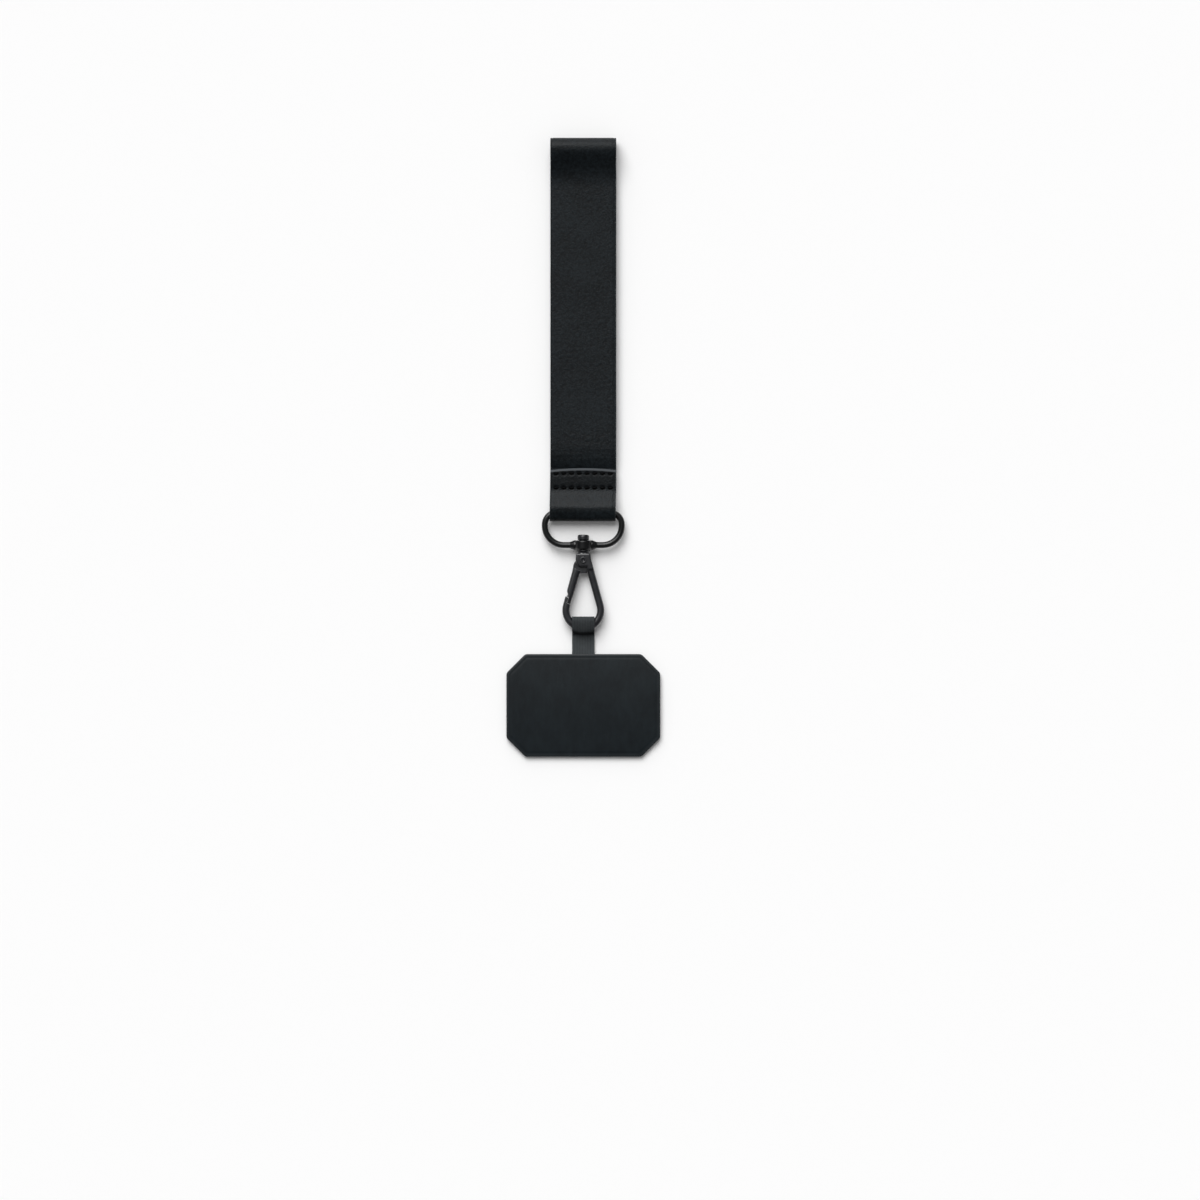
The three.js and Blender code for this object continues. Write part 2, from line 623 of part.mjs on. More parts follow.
function tapeGeometry() {
  const barHalf = HOOK_THICKNESS / 2;
  const halfWidth = TAPE_WIDTH / 2;
  const bendInset = Math.sqrt(Math.max(hookInnerRadius ** 2 - halfWidth ** 2, 0.01));
  const voidBottom = -TAPE_LOOP_CLEARANCE;
  const voidTop = HOOK_OUTER_RADIUS - bendInset + TAPE_LOOP_CLEARANCE;
  const voidLow = planeZ - barHalf - TAPE_LOOP_CLEARANCE;
  const voidHigh = planeZ + barHalf + TAPE_LOOP_CLEARANCE;
  const farRound = (voidHigh - voidLow) * 0.41;
  const nearRound = (voidHigh - voidLow) * 0.3;
  const t = TAPE_THICKNESS;
  const low = PAD_SHEET_THICKNESS - t;
  const high = PAD_SHEET_THICKNESS + t;
  const end = -PAD_BELOW_HOOK - TAPE_DEPTH_IN_PAD;
  const outer = new THREE.Shape();
  outer.moveTo(end, low);
  outer.lineTo(-4.8, low);
  outer.bezierCurveTo(-3.4, low, -2.6, low, voidBottom + nearRound, voidLow - t);
  outer.lineTo(voidTop - farRound, voidLow - t);
  outer.absarc(voidTop - farRound, voidLow + farRound, farRound + t, -Math.PI / 2, 0, false);
  outer.absarc(voidTop - farRound, voidHigh - farRound, farRound + t, 0, Math.PI / 2, false);
  outer.absarc(voidBottom + nearRound, voidHigh - nearRound, nearRound + t, Math.PI / 2, Math.PI, false);
  outer.bezierCurveTo(voidBottom - t, planeZ - 1, voidBottom - t - 0.3, high, -2.3, high);
  outer.lineTo(end, high);
  const inner = new THREE.Path();
  inner.absarc(voidTop - farRound, voidLow + farRound, farRound, -Math.PI / 2, 0, false);
  inner.absarc(voidTop - farRound, voidHigh - farRound, farRound, 0, Math.PI / 2, false);
  inner.absarc(voidBottom + nearRound, voidHigh - nearRound, nearRound, Math.PI / 2, Math.PI, false);
  inner.absarc(voidBottom + nearRound, voidLow + nearRound, nearRound, Math.PI, 1.5 * Math.PI, false);
  outer.holes.push(inner);
  return sidePlate(outer, TAPE_WIDTH, 0, 6);
}

function padOutline() {
  const x = PAD_WIDTH / 2;
  const top = -PAD_BELOW_HOOK;
  const bottom = top - PAD_LENGTH;
  const cut = PAD_CORNER_CUT;
  return polygon([
    [-x, bottom + cut],
    [-x + cut, bottom],
    [x - cut, bottom],
    [x, bottom + cut],
    [x, top - cut],
    [x - cut, top],
    [-x + cut, top],
    [-x, top - cut],
  ]);
}

// Each sheet has half of the flat pocket that the tape's bonded end lies in
function padSheetGeometry(side) {
  const sheet = toSolid(plate(padOutline(), PAD_SHEET_THICKNESS, PAD_EDGE_ROUNDING, 12, 1));
  const depth = TAPE_THICKNESS + PAD_POCKET_CLEARANCE;
  const length = TAPE_DEPTH_IN_PAD + PAD_POCKET_CLEARANCE + 1;
  const pocket = toSolid(new THREE.BoxGeometry(TAPE_WIDTH + 2 * PAD_POCKET_CLEARANCE, length, 2 * depth)
    .translate(0, -PAD_BELOW_HOOK + 1 - length / 2, (-side * PAD_SHEET_THICKNESS) / 2));
  return toGeometry(sheet.subtract(pocket));
}

// Materials

const strapLeather = new THREE.MeshStandardMaterial({ color: 0x262a2c, roughness: 0.72, metalness: 0 });
const threadBlack = new THREE.MeshStandardMaterial({ color: 0x0c0e11, roughness: 0.8, metalness: 0 });
const satinBlackMetal = new THREE.MeshStandardMaterial({ color: 0x3a3c3f, roughness: 0.38, metalness: 0.6 });
const rivetMetal = new THREE.MeshStandardMaterial({ color: 0x2e3033, roughness: 0.42, metalness: 0.7 });
const springSteel = new THREE.MeshStandardMaterial({ color: 0x8c8f93, roughness: 0.3, metalness: 1 });
const wovenTape = new THREE.MeshStandardMaterial({ color: 0x434749, roughness: 0.85, metalness: 0 });
const padFace = new THREE.MeshStandardMaterial({ color: 0x2b2f32, roughness: 0.66, metalness: 0 });

function piece(name, geometry, material) {
  const mesh = new THREE.Mesh(geometry, material);
  mesh.name = name;
  return mesh;
}

// Assembly

const lanyard = new THREE.Group();

const strapGroup = new THREE.Group();
strapGroup.add(piece('wrist_strap', strapGeometry(), strapLeather));
const lowerRow = roundWire(stitchStations(LOWER_ROW_Y), THREAD_RADIUS, 6);
const upperRow = roundWire(stitchStations(upperRowY), THREAD_RADIUS, 6);
strapGroup.add(piece('seam_thread_lower', lowerRow, threadBlack));
strapGroup.add(piece('seam_thread_upper', upperRow, threadBlack));
lanyard.add(strapGroup);

const ringGroup = new THREE.Group();
ringGroup.position.set(0, 0, planeZ);
ringGroup.add(piece('swivel_ring', ringGeometry(), satinBlackMetal));
lanyard.add(ringGroup);

const hookGroup = new THREE.Group();
hookGroup.position.set(0, rivetY, planeZ);
hookGroup.add(piece('hook_body', hookGeometry(), satinBlackMetal));
hookGroup.add(piece('gate_rivet', rivetGeometry(), rivetMetal));
hookGroup.add(piece('gate_spring', springGeometry(), springSteel));
hookGroup.add(piece('gate_lever', gateGeometry(), satinBlackMetal));
lanyard.add(hookGroup);

const tabGroup = new THREE.Group();
tabGroup.position.set(0, hookBottomY, 0);
tabGroup.add(piece('tether_tape', tapeGeometry(), wovenTape));
const backSheet = piece('pad_back_sheet', padSheetGeometry(-1), padFace);
backSheet.position.z = PAD_SHEET_THICKNESS / 2;
const frontSheet = piece('pad_front_sheet', padSheetGeometry(1), padFace);
frontSheet.position.z = PAD_SHEET_THICKNESS * 1.5;
tabGroup.add(backSheet);
tabGroup.add(frontSheet);
lanyard.add(tabGroup);

lanyard.position.y = -(STRAP_REACH + padBottomY) / 2;
lanyard.updateMatrixWorld(true);

export default lanyard;
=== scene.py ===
"""Looks of the wrist lanyard: a sewn strap, a swivel ring, a snap hook, a woven tape and a thin tab."""

import logging
import math
from collections.abc import Callable
from dataclasses import dataclass, field
from enum import Enum

import bmesh
import bpy
import numpy as np
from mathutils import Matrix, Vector

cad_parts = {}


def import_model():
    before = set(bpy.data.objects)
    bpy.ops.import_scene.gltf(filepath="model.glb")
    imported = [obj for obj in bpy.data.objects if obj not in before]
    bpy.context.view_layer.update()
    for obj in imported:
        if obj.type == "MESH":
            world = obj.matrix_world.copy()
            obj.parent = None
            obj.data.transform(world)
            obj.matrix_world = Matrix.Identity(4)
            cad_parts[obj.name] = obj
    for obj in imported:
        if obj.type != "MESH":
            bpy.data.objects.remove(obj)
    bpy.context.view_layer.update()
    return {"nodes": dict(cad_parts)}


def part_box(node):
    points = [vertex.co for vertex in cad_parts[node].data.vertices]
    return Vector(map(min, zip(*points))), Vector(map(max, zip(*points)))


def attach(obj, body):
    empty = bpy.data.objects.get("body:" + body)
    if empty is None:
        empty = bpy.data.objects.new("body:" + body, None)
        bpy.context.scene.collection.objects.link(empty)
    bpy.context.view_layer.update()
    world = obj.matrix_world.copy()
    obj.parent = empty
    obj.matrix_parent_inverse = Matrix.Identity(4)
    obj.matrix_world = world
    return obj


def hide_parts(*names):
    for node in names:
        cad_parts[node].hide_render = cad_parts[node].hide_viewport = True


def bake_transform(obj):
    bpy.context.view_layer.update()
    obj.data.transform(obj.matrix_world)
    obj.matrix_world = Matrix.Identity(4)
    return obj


MM = 0.001
BAR_Y = -25.2375  # the ring's bar
PLANE_Z = 3.4  # the height of the metal parts' middle
STEP = 0.05  # between the points of a path

Colour = tuple[int, int, int]
Point = tuple[float, float, float]
log = logging.getLogger("lanyard")


# --- Numbers and outlines, in millimetres ---


def ease(low: float, high: float, x: np.ndarray) -> np.ndarray:
    """Rises smoothly from 0 to 1.

    Args:
        low: where the rise starts.
        high: where it ends.
        x: the places to read it at.

    Returns:
        The height at each place.
    """
    t = np.clip((x - low) / (high - low), 0.0, 1.0)
    return t * t * (3.0 - 2.0 * t)


def hump(x: np.ndarray, centre: float, half: float) -> np.ndarray:
    """A soft hump of height 1.

    Args:
        x: the places to read it at.
        centre: the hump's middle.
        half: its half width.

    Returns:
        The height at each place.
    """
    return np.exp(-(((x - centre) / half) ** 2))


def ripple(seed: int, along: np.ndarray, across: np.ndarray, length: float) -> np.ndarray:
    """Uneven waves that run across a tape.

    Args:
        seed: picks the waves.
        along: distance along the tape.
        across: distance from its middle.
        length: the mean distance between crests.

    Returns:
        Heights that are mostly between -1 and 1.
    """
    rng = np.random.default_rng(seed)
    total = np.zeros(np.broadcast(along, across).shape)
    for _ in range(7):
        k = 2 * math.pi / (length * rng.uniform(0.6, 1.7))
        total += np.sin(k * along + rng.uniform(-0.35, 0.35) * across + rng.uniform(0, 7))
    return total / 3.2


def line(start: tuple[float, float], end: tuple[float, float]) -> np.ndarray:
    """A straight run.

    Args:
        start: its first point.
        end: its last point.

    Returns:
        Points one STEP apart.
    """
    a, b = np.array(start, float), np.array(end, float)
    steps = max(2, int(np.linalg.norm(b - a) / STEP))
    return a + (b - a) * np.linspace(0, 1, steps)[:, None]


def arc(centre: tuple[float, float], radius: float, start: float, end: float) -> np.ndarray:
    """A run on a circle.

    Args:
        centre: the circle's middle.
        radius: its radius.
        start: the first point's angle, in degrees.
        end: the last point's angle.

    Returns:
        Points one STEP apart.
    """
    steps = max(3, int(radius * abs(math.radians(end - start)) / STEP))
    turn = np.radians(np.linspace(start, end, steps))
    return np.stack([centre[0] + radius * np.cos(turn), centre[1] + radius * np.sin(turn)], 1)


def bend(*corners: tuple[float, float]) -> np.ndarray:
    """A cubic run.

    Args:
        *corners: its four control points.

    Returns:
        Two hundred points on it.
    """
    t = np.linspace(0, 1, 200)[:, None]
    a, b, c, d = (np.array(p, float) for p in corners)
    return a * (1 - t) ** 3 + 3 * b * t * (1 - t) ** 2 + 3 * c * t**2 * (1 - t) + d * t**3


def s_bend(start: tuple[float, float], end: tuple[float, float], lead: float) -> np.ndarray:
    """A run that changes level and stays level at both ends.

    Args:
        start: its first point.
        end: its last point.
        lead: how far the level ends reach in, as a share of the run.

    Returns:
        Points on it.
    """
    reach = (end[0] - start[0]) * lead
    return bend(start, (start[0] + reach, start[1]), (end[0] - reach, end[1]), end)


def stations(
    runs: list[np.ndarray], gap: Callable[[np.ndarray], np.ndarray]
) -> tuple[np.ndarray, np.ndarray, np.ndarray]:
    """Places along a path, closer together where its form asks for it.

    Args:
        runs: the path's runs, each starting where the last one ends.
        gap: gives the distance between stations for each point of the path.

    Returns:
        The stations, the direction at each, and its distance along the path.
    """
    path = np.concatenate([runs[0]] + [r[1:] for r in runs[1:]])
    step = np.linalg.norm(np.diff(path, axis=0), axis=1)
    keep = np.concatenate([[True], step > 1e-9])
    path, step = path[keep], step[step > 1e-9]
    far = np.concatenate([[0], np.cumsum(step)])
    density = 1.0 / gap(path)
    count = np.concatenate([[0], np.cumsum((density[1:] + density[:-1]) / 2 * step)])
    marks = np.linspace(0, count[-1], int(math.ceil(count[-1])) + 1)
    s = np.interp(marks, count, far)
    even = np.arange(0, far[-1], STEP)
    fine = np.stack([np.interp(even, far, path[:, i]) for i in range(path.shape[1])], 1)
    slope = np.gradient(fine, even, axis=0)
    slope /= np.linalg.norm(slope, axis=1)[:, None]
    at = np.stack([np.interp(s, far, path[:, i]) for i in range(path.shape[1])], 1)
    way = np.stack([np.interp(s, even, slope[:, i]) for i in range(path.shape[1])], 1)
    return at, way / np.linalg.norm(way, axis=1)[:, None], s


@dataclass
class Skin:
    """A mesh in the making, in millimetres."""

    points: np.ndarray
    faces: list[list[int]]
    values: dict[str, np.ndarray] = field(default_factory=dict)

    @classmethod
    def lofted(cls, sections: np.ndarray, values: dict[str, np.ndarray] | None = None) -> "Skin":
        """Joins closed outlines of equal count and caps both ends.

        Args:
            sections: stations by outline points by three.
            values: numbers for each of those points.

        Returns:
            The closed skin.
        """
        count, around = sections.shape[:2]
        index = np.arange(count * around).reshape(count, around)
        a, b = index[:-1], index[1:]
        quads = np.stack([a, np.roll(a, -1, 1), np.roll(b, -1, 1), b], -1).reshape(-1, 4)
        faces = quads.tolist() + [index[0][::-1].tolist(), index[-1].tolist()]
        flat = {k: np.asarray(v, float).reshape(-1) for k, v in (values or {}).items()}
        return cls(sections.reshape(-1, 3), faces, flat)

    @classmethod
    def tube(
        cls, path: np.ndarray, radius: float, sides: int, lobes: float = 0.0, lay: float = 1.0
    ) -> "Skin":
        """Sweeps a round or two-ply section along a path.

        Args:
            path: points in space.
            radius: its radius.
            sides: points round the section.
            lobes: how deep the groove between two plies is, as a share of the radius.
            lay: the length of one turn of the plies.

        Returns:
            The closed skin, with its distance along the path as "along".
        """
        way = np.gradient(path, axis=0)
        way /= np.linalg.norm(way, axis=1)[:, None]
        side = np.cross(way[0], [0.12, 0.35, 0.93])
        sides_at = []
        for t in way:
            side = side - t * float(side @ t)
            side = side / np.linalg.norm(side)
            sides_at.append(side)
        u = np.array(sides_at)
        v = np.cross(way, u)
        far = np.concatenate([[0], np.cumsum(np.linalg.norm(np.diff(path, axis=0), axis=1))])
        turn = np.linspace(0, 2 * math.pi, sides, endpoint=False)[None, :]
        size = radius * (1 + lobes * np.cos(2 * turn - 2 * math.pi * far[:, None] / lay))
        turned = np.cos(turn)[..., None] * u[:, None] + np.sin(turn)[..., None] * v[:, None]
        ring = size[..., None] * turned
        return cls.lofted(path[:, None] + ring, {"along": np.repeat(far[:, None], sides, 1)})

    @classmethod
    def turned(cls, profile: list[tuple[float, float]], sides: int, hollow: bool = False) -> "Skin":
        """Turns a profile about the Y axis.

        Args:
            profile: pairs of radius and height.
            sides: points round the piece.
            hollow: joins the profile's last point to its first, which leaves a bore.

        Returns:
            The closed skin.
        """
        turn = np.linspace(0, 2 * math.pi, sides, endpoint=False)
        rings = np.array([[(r * math.cos(a), y, r * math.sin(a)) for a in turn] for r, y in profile])
        skin = cls.lofted(rings)
        if hollow:
            skin.faces = skin.faces[:-2]
            first, last = np.arange(sides), np.arange(sides) + sides * (len(profile) - 1)
            skin.faces += np.stack([last, np.roll(last, -1), np.roll(first, -1), first], 1).tolist()
        return skin

    def moved(self, x: float = 0.0, y: float = 0.0, z: float = 0.0) -> "Skin":
        """The same skin in another place."""
        return Skin(self.points + np.array([x, y, z]), self.faces, self.values)

    def joined(self, other: "Skin") -> "Skin":
        """Joins two skins.

        Args:
            other: the second one.

        Returns:
            Both as one, without their values.
        """
        shift = len(self.points)
        faces = self.faces + [[i + shift for i in f] for f in other.faces]
        return Skin(np.concatenate([self.points, other.points]), faces)

    def mesh(self, name: str, scale: float = MM) -> bpy.types.Mesh:
        """Turns the skin into a Blender mesh with outward faces.

        Args:
            name: the mesh's name.
            scale: metres to one unit of the skin.

        Returns:
            The mesh.
        """
        mesh = bpy.data.meshes.new(name)
        mesh.from_pydata((self.points * scale).tolist(), [], self.faces)
        work = bmesh.new()
        work.from_mesh(mesh)
        bmesh.ops.recalc_face_normals(work, faces=work.faces)
        work.to_mesh(mesh)
        work.free()
        for key, numbers in self.values.items():
            layer = mesh.attributes.new(key, "FLOAT", "POINT")
            layer.data.foreach_set("value", numbers.astype(np.float32))
        return mesh

    def piece(self, name: str, crease: float = 38.0) -> bpy.types.Object:
        """Makes a shown piece of the skin.

        Args:
            name: the piece's name.
            crease: the angle in degrees from which an edge stays sharp.

        Returns:
            The piece, linked to the scene.
        """
        return shown(name, self.mesh(name), crease)


def shown(name: str, mesh: bpy.types.Mesh, crease: float) -> bpy.types.Object:
    """Links a mesh to the scene with smooth faces and sharp creases.

    Args:
        name: the piece's name.
        mesh: its mesh.
        crease: the angle in degrees from which an edge stays sharp.

    Returns:
        The piece.
    """
    mesh.shade_smooth()
    mesh.set_sharp_from_angle(angle=math.radians(crease))
    piece = bpy.data.objects.new(name, mesh)
    bpy.context.scene.collection.objects.link(piece)
    return piece


def cast(name: str, rough: bpy.types.Mesh, voxel: float, rounds: int) -> bpy.types.Object:
    """A casting: one skin over a rough form, with its corners softened.

    Args:
        name: the piece's name.
        rough: the form in millimetres, whose solids may run into each other.
        voxel: the skin's fineness, in millimetres.
        rounds: how often it is smoothed.

    Returns:
        The piece, in metres.
    """
    form = bpy.data.objects.new(name + "_form", rough)
    bpy.context.scene.collection.objects.link(form)
    skin = form.modifiers.new("skin", "REMESH")
    skin.mode, skin.voxel_size = "VOXEL", voxel
    soften = form.modifiers.new("soften", "SMOOTH")
    soften.factor, soften.iterations = 0.5, rounds
    graph = bpy.context.evaluated_depsgraph_get()
    mesh = bpy.data.meshes.new_from_object(form.evaluated_get(graph))
    bpy.data.objects.remove(form)
    mesh.name = name
    flat = np.empty(len(mesh.vertices) * 3, np.float32)
    mesh.vertices.foreach_get("co", flat)
    mesh.vertices.foreach_set("co", flat * MM)
    mesh.update()
    return shown(name, mesh, 60.0)


def cast_from(name: str, node: bpy.types.Object, voxel: float, rounds: int) -> bpy.types.Object:
    """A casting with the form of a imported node.

    Args:
        name: the piece's name.
        node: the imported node, which stays as it is.
        voxel: the skin's fineness, in millimetres.
        rounds: how often it is smoothed.

    Returns:
        The piece.
    """
    work = bmesh.new()
    work.from_mesh(node.data)
    bmesh.ops.scale(work, vec=Vector((1000.0,) * 3), verts=work.verts)
    bmesh.ops.remove_doubles(work, verts=work.verts, dist=1e-4)
    rough = bpy.data.meshes.new(name + "_rough")
    work.to_mesh(rough)
    work.free()
    return cast(name, rough, voxel, rounds)


# --- Shader expressions ---


@dataclass(frozen=True)
class Value:
    """A shader socket that Python expressions can use."""

    socket: bpy.types.NodeSocket

    def _math(self, operation: str, left: "Value | float", right: "Value | float") -> "Value":
        """Adds one Math node.

        Args:
            operation: the node's operation.
            left: its first value.
            right: its second value.

        Returns:
            The node's result.
        """
        tree = self.socket.id_data
        node = tree.nodes.new("ShaderNodeMath")
        node.operation = operation
        for socket, item in zip(node.inputs, (left, right)):
            if isinstance(item, Value):
                tree.links.new(item.socket, socket)
            else:
                socket.default_value = item
        return Value(node.outputs[0])

    def __add__(self, other: "Value | float") -> "Value":
        """self + other."""
        return self._math("ADD", self, other)

    def __radd__(self, other: float) -> "Value":
        """other + self."""
        return self._math("ADD", other, self)

    def __sub__(self, other: "Value | float") -> "Value":
        """self - other."""
        return self._math("SUBTRACT", self, other)

    def __rsub__(self, other: float) -> "Value":
        """other - self."""
        return self._math("SUBTRACT", other, self)

    def __mul__(self, other: "Value | float") -> "Value":
        """self * other."""
        return self._math("MULTIPLY", self, other)

    def __rmul__(self, other: float) -> "Value":
        """other * self."""
        return self._math("MULTIPLY", other, self)

    def __pow__(self, other: float) -> "Value":
        """self ** other."""
        return self._math("POWER", self, other)

    def top(self, other: "Value | float") -> "Value":
        """The larger of two values."""
        return self._math("MAXIMUM", self, other)


def linear(colour: Colour) -> tuple[float, float, float, float]:
    """A written colour as the shader's numbers.

    Args:
        colour: red, green and blue from 0 to 255.

    Returns:
        The same colour in linear light, with full alpha.
    """
    parts = [c / 255 for c in colour]
    light = [p / 12.92 if p <= 0.04045 else ((p + 0.055) / 1.055) ** 2.4 for p in parts]
    return (light[0], light[1], light[2], 1.0)


class Palette:
    """A material's node tree, with one Principled shader."""

    def __init__(self, name: str) -> None:
        """Makes the material.

        Args:
            name: the material's name.
        """
        self.material = bpy.data.materials.new(name)
        self.material.use_nodes = True
        self.tree = self.material.node_tree
        self.shader = self.tree.nodes["Principled BSDF"]

    def node(
        self,
        kind: str,
        settings: dict[str, object] | None = None,
        inputs: dict[str | int, object] | None = None,
        output: str | int = 0,
    ) -> Value:
        """Adds one node of any kind.

        Args:
            kind: the node's type.
            settings: its own settings, set first. "stops" are a ramp's pairs of place and colour.
            inputs: values or links for its sockets.
            output: which of its outputs to hand back.

        Returns:
            That output.
        """
        node = self.tree.nodes.new(kind)
        for key, item in (settings or {}).items():
            if key == "stops":
                ramp = node.color_ramp
                while len(ramp.elements) < len(item):
                    ramp.elements.new(0.5)
                for element, (place, colour) in zip(ramp.elements, item):
                    element.position, element.color = place, colour
            else:
                setattr(node, key, item)
        for key, item in (inputs or {}).items():
            if isinstance(item, Value):
                self.tree.links.new(item.socket, node.inputs[key])
            else:
                node.inputs[key].default_value = item
        return Value(node.outputs[output])

    def place(self, scale: tuple[float, float, float] = (1000.0, 1000.0, 1000.0)) -> Value:
        """The point on the object, in millimetres unless another scale is asked for."""
        where = self.node("ShaderNodeTexCoord", output="Object")
        return self.node("ShaderNodeVectorMath", {"operation": "MULTIPLY"}, {0: where, 1: scale})

    def number(self, name: str) -> Value:
        """A number that the mesh carries."""
        return self.node("ShaderNodeAttribute", {"attribute_name": name}, output="Fac")

    def noise(
        self, size: float, detail: float = 2.0, rough: float = 0.5, at: Value | None = None
    ) -> Value:
        """Soft noise.

        Args:
            size: the width of its patches, in millimetres.
            detail: how many finer layers it has.
            rough: how strong those are.
            at: where it is read, the point on the object if left out.

        Returns:
            A value about 0.5.
        """
        inputs = {"Vector": at or self.place(), "Scale": 1.0 / size}
        inputs |= {"Detail": detail, "Roughness": rough}
        return self.node("ShaderNodeTexNoise", {"noise_dimensions": "3D"}, inputs)

    def between(self, mask: Value, low: float, high: float) -> Value:
        """Rises from 0 to 1 as the mask goes from low to high."""
        inputs = {"Value": mask, "From Min": low, "From Max": high}
        return self.node("ShaderNodeMapRange", {"interpolation_type": "SMOOTHSTEP"}, inputs)

    def sine(self, angle: Value) -> Value:
        """The sine of a value."""
        return self.node("ShaderNodeMath", {"operation": "SINE"}, {0: angle})

    def blend(self, mask: Value, first: object, second: object) -> Value:
        """Mixes two colours.

        Args:
            mask: 0 for the first, 1 for the second.
            first: a colour or a link.
            second: another.

        Returns:
            The mixed colour.
        """
        inputs = {0: mask, 6: first, 7: second}
        return self.node("ShaderNodeMix", {"data_type": "RGBA"}, inputs, output=2)

    def bump(self, height: Value, depth: float, below: Value | None = None) -> Value:
        """Raises the surface by a height.

        Args:
            height: from 0 to 1.
            depth: what 1 stands for, in millimetres.
            below: a bump that this one lies on.

        Returns:
            The normal.
        """
        inputs = {"Height": height, "Distance": depth * MM, "Strength": 1.0}
        if below is not None:
            inputs["Normal"] = below
        return self.node("ShaderNodeBump", None, inputs)

    def done(self, **sockets: object) -> bpy.types.Material:
        """Sets the shader's sockets.

        Args:
            **sockets: socket names with _ for a space, and their values or links.

        Returns:
            The material.
        """
        for key, item in sockets.items():
            socket = self.shader.inputs[key.replace("_", " ")]
            if isinstance(item, Value):
                self.tree.links.new(item.socket, socket)
            else:
                socket.default_value = item
        return self.material


# --- Finishes ---


@dataclass(frozen=True)
class Finish:
    """What every finish has: its slot in the record, and a word that tells two of one slot apart."""

    slot: str = ""
    tag: str = "finish"

    @property
    def label(self) -> str:
        """The material's name."""
        return f"{self.slot}_{self.tag}"

    def material(self) -> bpy.types.Material:
        """Builds the material."""
        raise NotImplementedError


@dataclass(frozen=True)
class PebbledLeather(Finish):
    """Matt black leather: a fine pebble grain, painted shade at the stitches and over the sewn tail,
    bare at its cut edges.
    """

    slot: str = "strap_leather"
    low: Colour = (3, 7, 10)
    high: Colour = (22, 29, 33)
    # colour of the painted shade at the stitch dimples and over the sewn tail
    painted_dark: Colour = (1, 1, 2)
    fibre: Colour = (50, 53, 56)
    cut: Colour = (84, 88, 92)
    pebble: float = 0.6
    stir: float = 0.22
    shine: float = 0.2

    def material(self) -> bpy.types.Material:
        """Builds the leather.

        Returns:
            The material.
        """
        p = Palette(self.label)
        warp = p.noise(1.3, 3.0, 0.6)
        where = p.place()
        swirl = {"Vector": where, "Scale": 1.6, "Detail": 2.0}
        stir = p.node("ShaderNodeTexNoise", None, swirl, "Color")
        shift = {0: stir, 1: (self.stir, self.stir, self.stir), 2: where}
        bent = p.node("ShaderNodeVectorMath", {"operation": "MULTIPLY_ADD"}, shift)
        cell = {"Vector": bent, "Scale": 1.0 / self.pebble, "Smoothness": 0.35}
        cells = p.node("ShaderNodeTexVoronoi", {"feature": "SMOOTH_F1"}, cell, "Distance")
        grain = (1.0 - cells) ** 1.6
        pores = p.noise(0.12, 3.0, 0.6)
        wide = p.noise(14.0, 3.0)
        cut = p.number("cut")
        press = p.number("press")
        tone = p.between(wide * 0.3 + grain * 0.25 + warp * 0.55, 0.32, 0.74)
        face = p.blend(tone, linear(self.low), linear(self.high))
        # painted shade: the face is darkened at the stitch dimples and over the sewn tail
        painted_dark = p.blend(press * 0.95, face, linear(self.painted_dark))
        fibre = p.noise(0.22, 4.0, 0.7)
        raw = p.blend(fibre, linear(self.fibre), linear(self.cut))
        colour = p.blend(cut, painted_dark, raw)
        rough = 0.4 + pores * 0.1 + wide * 0.07 + cut * 0.2
        first = p.bump(grain * (1.0 - cut) + fibre * cut, 0.085)
        normal = p.bump(pores * (1.0 - 0.5 * cut), 0.025, p.bump(warp, 0.09, first))
        return p.done(Base_Color=colour, Roughness=rough, Normal=normal, Specular_IOR_Level=self.shine)


@dataclass(frozen=True)
class TwistedThread(Finish):
    """Black two-ply sewing thread with a dull sheen on its filaments."""

    slot: str = "seam_thread"
    low: Colour = (1, 1, 2)
    high: Colour = (8, 8, 9)
    strands: float = 16.0
    shine: float = 0.07

    def material(self) -> bpy.types.Material:
        """Builds the thread.

        Returns:
            The material.
        """
        p = Palette(self.label)
        along = p.number("along")
        strands = p.sine(along * self.strands + p.noise(0.5) * 5.0) * 0.5 + 0.5
        fuzz = p.noise(0.07, 3.0, 0.65)
        tone = p.between(strands * 0.6 + fuzz * 0.5, 0.2, 0.9)
        colour = p.blend(tone, linear(self.low), linear(self.high))
        normal = p.bump(strands * 0.6 + fuzz * 0.4, 0.03)
        rough = 0.6 + fuzz * 0.2
        return p.done(Base_Color=colour, Roughness=rough, Normal=normal, Specular_IOR_Level=self.shine)


@dataclass(frozen=True)
class SatinCoat(Finish):
    """Satin black coat on cast metal: fine orange peel, faint clouding, and brighter worn corners."""

    slot: str = "satin_black_metal"
    low: Colour = (14, 15, 19)
    high: Colour = (25, 27, 32)
    worn: Colour = (88, 89, 92)
    wear: float = 0.22
    gloss: float = 0.27
    shine: float = 0.76

    def material(self) -> bpy.types.Material:
        """Builds the coat.

        Returns:
            The material.
        """
        p = Palette(self.label)
        peel = p.noise(0.32, 2.0, 0.5)
        specks = p.noise(0.07, 2.0, 0.6)
        cloud = p.noise(3.5, 3.0)
        corner = p.node("ShaderNodeNewGeometry", output="Pointiness")
        rub = p.between(corner + (p.noise(1.4, 3.0, 0.6) - 0.5) * 0.05, 0.54, 0.64) * self.wear
        tone = p.between(cloud * 0.7 + specks * 0.3, 0.3, 0.7)
        coat = p.blend(tone, linear(self.low), linear(self.high))
        colour = p.blend(rub, coat, linear(self.worn))
        rough = self.gloss + cloud * 0.1 + specks * 0.05 - rub * 0.08
        normal = p.bump(specks, 0.004, p.bump(peel, 0.012))
        return p.done(
            Base_Color=colour,
            Roughness=rough,
            Metallic=rub * 0.6,
            Normal=normal,
            Specular_IOR_Level=self.shine,
        )


